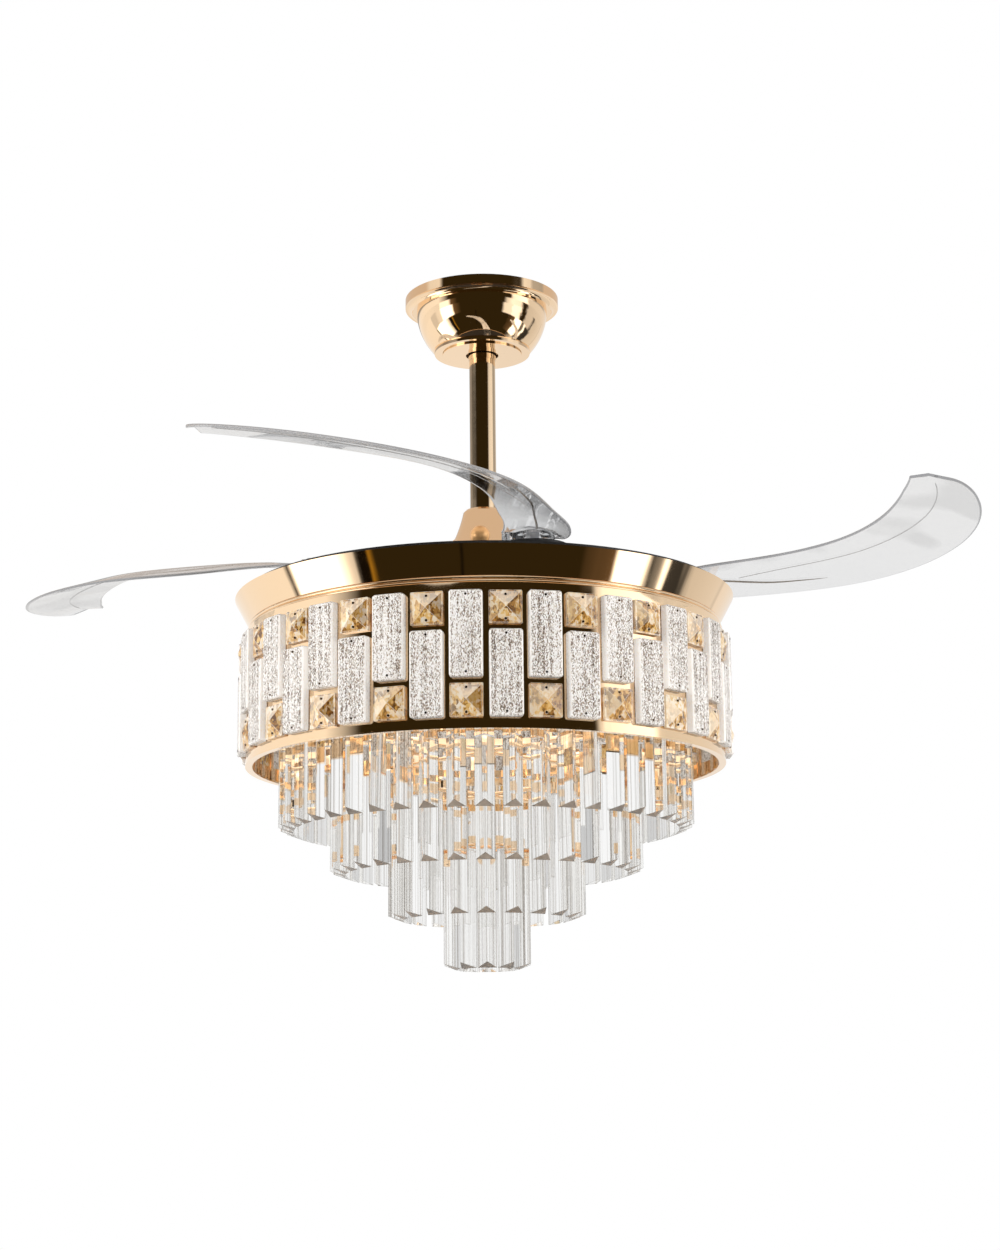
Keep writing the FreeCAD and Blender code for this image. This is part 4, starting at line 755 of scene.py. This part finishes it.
# Surroundings: white to the eye and through glass. Metal mirrors a room that is dark in front of the fan.
# Each row is one height of the room, with its sine above the fan, and lists turns in degrees to the right
# of the front with the light there; a single number is a level of the room's own white
dark = (0.029, 0.0195, 0.0062)
deep = (0.008, 0.0055, 0.003)
brown = (0.16, 0.10, 0.05)
gilt = (0.84, 0.44, 0.04)
peach = (0.70, 0.60, 0.52)
studio = dict(
    rows=[
        (-0.97, [(-180, 0.8), (-60, 0.42), (60, 0.42), (180, 0.8)]),
        (-0.86, [(-180, 0.85), (-90, 0.85), (-70, dark), (70, dark), (90, 0.85), (180, 0.85)]),
        (-0.56, [(-180, 0.9), (-106, 1.05), (-105, 0.06), (-103, 0.06), (-102, 2.6), (-77, 2.6),
                 (-70, 1.0), (-66.8, 0.75), (-66, deep), (-59.2, deep), (-58.9, gilt), (-57.9, gilt),
                 (-57.6, dark), (-12.6, dark), (-12, deep), (-10.8, deep), (-10.2, dark), (52, dark),
                 (68, brown), (71, 2.6), (85, 2.4), (88, 0.06), (93, 0.35), (96.5, 2.2), (99, 2.2),
                 (101, 0.06), (112, 0.03), (115, 0.72), (139, 0.84), (140, 0.4), (141, 0.9)]),
        (-0.12, [(-180, 0.95), (-106, 1.05), (-105, 0.75), (-92, 0.75), (-88, 0.95), (-80, 1.0),
                 (-77, 2.6), (-55, 2.4), (-51, brown), (-38, dark), (37, dark), (42, 1.1), (56, 1.2),
                 (60, 1.7), (74, 1.6), (79, dark), (86, dark), (90, 0.7), (104, 0.75), (112, 0.03),
                 (115, 0.72), (139, 0.84),
                 (140, 0.4), (141, 0.9)]),
        (0.04, [(-180, 0.95), (-106, 1.0), (-80, 0.95), (-77, 1.6), (-60, 1.5), (-55, brown), (-43, dark),
                (40, dark), (46, 0.9), (57, 1.4), (74, 1.3), (79, dark), (86, dark), (90, 0.7), (103, 0.75),
                (139, 0.84), (140, 0.4), (141, 0.9), (180, 0.9)]),
        (0.18, [(-180, 0.95), (-80, 1.1), (-68, 0.5), (-60, dark), (52, dark), (58, 1.4), (84, 1.9),
                (92, 0.8), (180, 0.9)]),
        (0.31, [(-180, 0.45), (-112, 0.3), (-108, 0.14), (-64, 0.07), (-58, dark), (47, dark), (54, 0.95),
                (98, 1.15), (106, 0.42), (135, 0.5), (150, 0.84), (180, 0.9)]),
        (0.355, [(-180, peach), (-92, peach), (-84, 0.9), (-66, 0.95), (-60, dark), (60, dark), (66, 1.0),
                 (80, 0.9), (84, 0.5), (104, 0.45), (108, peach), (180, peach)]),
        (0.75, [(-180, peach), (180, peach)]),
    ],
    brightest=2.6, tint=(1.0, 0.985, 0.965), waver=0.035, clouds=7.0, cloudDetail=3.0, soften=0.006,
    waverWhere=[(0.0, 0.05), (0.6, 0.1), (0.66, 1.0), (0.83, 1.0), (0.86, 0.05)])
# the bands of the room that only glass bends in: turns and light
glassRoom = [(-180, 0.97), (-150, 0.93), (-141, 0.62), (-137, 0.95), (-96, 0.98), (-90, 0.55),
             (-86, 0.95), (-60, 0.97), (-54, 0.80), (-48, 0.95), (-32, 0.80), (-27, 0.95), (24, 0.95),
             (30, 0.78), (36, 0.94), (52, 0.84), (58, 0.96), (84, 0.96), (89, 0.55), (95, 0.98),
             (140, 0.95), (146, 0.62), (152, 0.94), (180, 0.97)]


def roomRamp(tree, share, turns, brightest, tint):
    stops = []
    for turn, light in turns:
        shade = light if isinstance(light, tuple) else tuple(light * part for part in tint)
        stops.append((turn / 360 + 0.5, tuple(part / brightest for part in shade)))
    return rampNode(tree, share, stops)


def buildWorld(s):
    world = bpy.data.worlds.new("studio")
    bpy.context.scene.world = world
    world.use_nodes = True
    tree = world.node_tree
    tree.nodes.clear()
    place = addNode(tree, "ShaderNodeTexCoord")
    axes = addNode(tree, "ShaderNodeSeparateXYZ")
    tree.links.new(place.outputs["Generated"], axes.inputs[0])
    x, y, z = axes.outputs
    turn = mathNode(tree, "ARCTAN2", x, mathNode(tree, "MULTIPLY", y, -1.0))
    even = mathNode(tree, "ADD", mathNode(tree, "DIVIDE", turn, 2 * math.pi), 0.5)
    # edges of the room waver a little, most at the right of the front
    cloud = noiseNode(tree, place.outputs["Generated"], s["clouds"], s["cloudDetail"])
    where = rampNode(tree, even, s["waverWhere"])
    sway = mathNode(tree, "MULTIPLY", mathNode(tree, "SUBTRACT", cloud, 0.5), s["waver"])
    share = mathNode(tree, "ADD", even, mathNode(tree, "MULTIPLY", sway, where))
    light = None
    for (low, _), (high, turns) in zip(s["rows"], s["rows"][1:]):
        if light is None:
            light = roomRamp(tree, share, s["rows"][0][1], s["brightest"], s["tint"])
        # the two rows meet half way between their heights, on a scale from 0 below to 1 above
        meet = (low + high) / 4 + 0.5
        step = rampNode(tree, mathNode(tree, "ADD", mathNode(tree, "MULTIPLY", z, 0.5), 0.5),
                        [(meet - s["soften"], 0.0), (meet + s["soften"], 1.0)])
        light = mixColour(tree, step, light, roomRamp(tree, share, turns, s["brightest"], s["tint"]))
    seen = addNode(tree, "ShaderNodeLightPath")
    room = addNode(tree, "ShaderNodeBackground")
    room.inputs["Strength"].default_value = s["brightest"]
    tree.links.new(light, room.inputs["Color"])
    through = addNode(tree, "ShaderNodeBackground")
    tree.links.new(rampNode(tree, even, [(turned / 360 + 0.5, level) for turned, level in glassRoom]),
                   through.inputs["Color"])
    white = addNode(tree, "ShaderNodeBackground")
    white.inputs["Color"].default_value = (1, 1, 1, 1)
    mixGlass = addNode(tree, "ShaderNodeMixShader")
    mixSeen = addNode(tree, "ShaderNodeMixShader")
    output = addNode(tree, "ShaderNodeOutputWorld")
    tree.links.new(seen.outputs["Is Transmission Ray"], mixGlass.inputs[0])
    tree.links.new(room.outputs[0], mixGlass.inputs[1])
    tree.links.new(through.outputs[0], mixGlass.inputs[2])
    tree.links.new(seen.outputs["Is Camera Ray"], mixSeen.inputs[0])
    tree.links.new(mixGlass.outputs[0], mixSeen.inputs[1])
    tree.links.new(white.outputs[0], mixSeen.inputs[2])
    tree.links.new(mixSeen.outputs[0], output.inputs[0])


buildWorld(studio)


# Floor far below, pale, and soft lamps
floorPlace = dict(z=-3.3, half=30.0, colour=(0.78, 0.80, 0.82), lift=0.42, rough=0.8)


def buildFloor(s):
    half = s["half"]
    mesh = bpy.data.meshes.new("floor")
    corners = [(x * half, y * half, s["z"]) for x, y in ((-1, -1), (1, -1), (1, 1), (-1, 1))]
    mesh.from_pydata(corners, [], [(0, 1, 2, 3)])
    floor = bpy.data.objects.new("floor", mesh)
    bpy.context.scene.collection.objects.link(floor)
    material, tree, shader = principled("paleFloor", s["colour"], Roughness=s["rough"])
    # pale to the eye and through glass, and it still takes the fan's shadow
    shader.inputs["Emission Color"].default_value = (1.0, 1.0, 1.0, 1.0)
    seen = addNode(tree, "ShaderNodeLightPath")
    shown = mathNode(tree, "MAXIMUM", seen.outputs["Is Camera Ray"], seen.outputs["Is Transmission Ray"])
    tree.links.new(mathNode(tree, "MULTIPLY", shown, s["lift"]), shader.inputs["Emission Strength"])
    # open from below, so that a view from under the floor still shows the fan
    output = next(node for node in tree.nodes if node.type == "OUTPUT_MATERIAL")
    clear = addNode(tree, "ShaderNodeBsdfTransparent")
    facing = addNode(tree, "ShaderNodeNewGeometry")
    sides = addNode(tree, "ShaderNodeMixShader")
    tree.links.new(facing.outputs["Backfacing"], sides.inputs[0])
    tree.links.new(shader.outputs[0], sides.inputs[1])
    tree.links.new(clear.outputs[0], sides.inputs[2])
    tree.links.new(sides.outputs[0], output.inputs[0])
    mesh.materials.append(material)
    floor.visible_glossy = False


buildFloor(floorPlace)

lamps = dict(
    key=dict(place=(-2.3, -0.4, 0.4), size=1.6, power=56.0),
    fill=dict(place=(2.3, -0.3, 0.2), size=1.8, power=54.0),
    front=dict(place=(0.2, -2.7, -0.2), size=1.4, power=17.0),
    under=dict(place=(0.0, -1.2, -2.4), size=1.6, power=15.0),
)
lampAim = (0.0, 0.0, -0.4)


def buildLamp(name, s):
    data = bpy.data.lights.new(name, "AREA")
    data.shape = "SQUARE"
    data.size = s["size"]
    data.energy = s["power"]
    lamp = bpy.data.objects.new(name, data)
    bpy.context.scene.collection.objects.link(lamp)
    lamp.location = s["place"]
    aim = Vector(lampAim) - Vector(s["place"])
    lamp.rotation_euler = aim.to_track_quat("-Z", "Y").to_euler()
    lamp.visible_glossy = False
    lamp.visible_transmission = False


for lampName, lampSettings in lamps.items():
    buildLamp(lampName, lampSettings)
print("studio built")
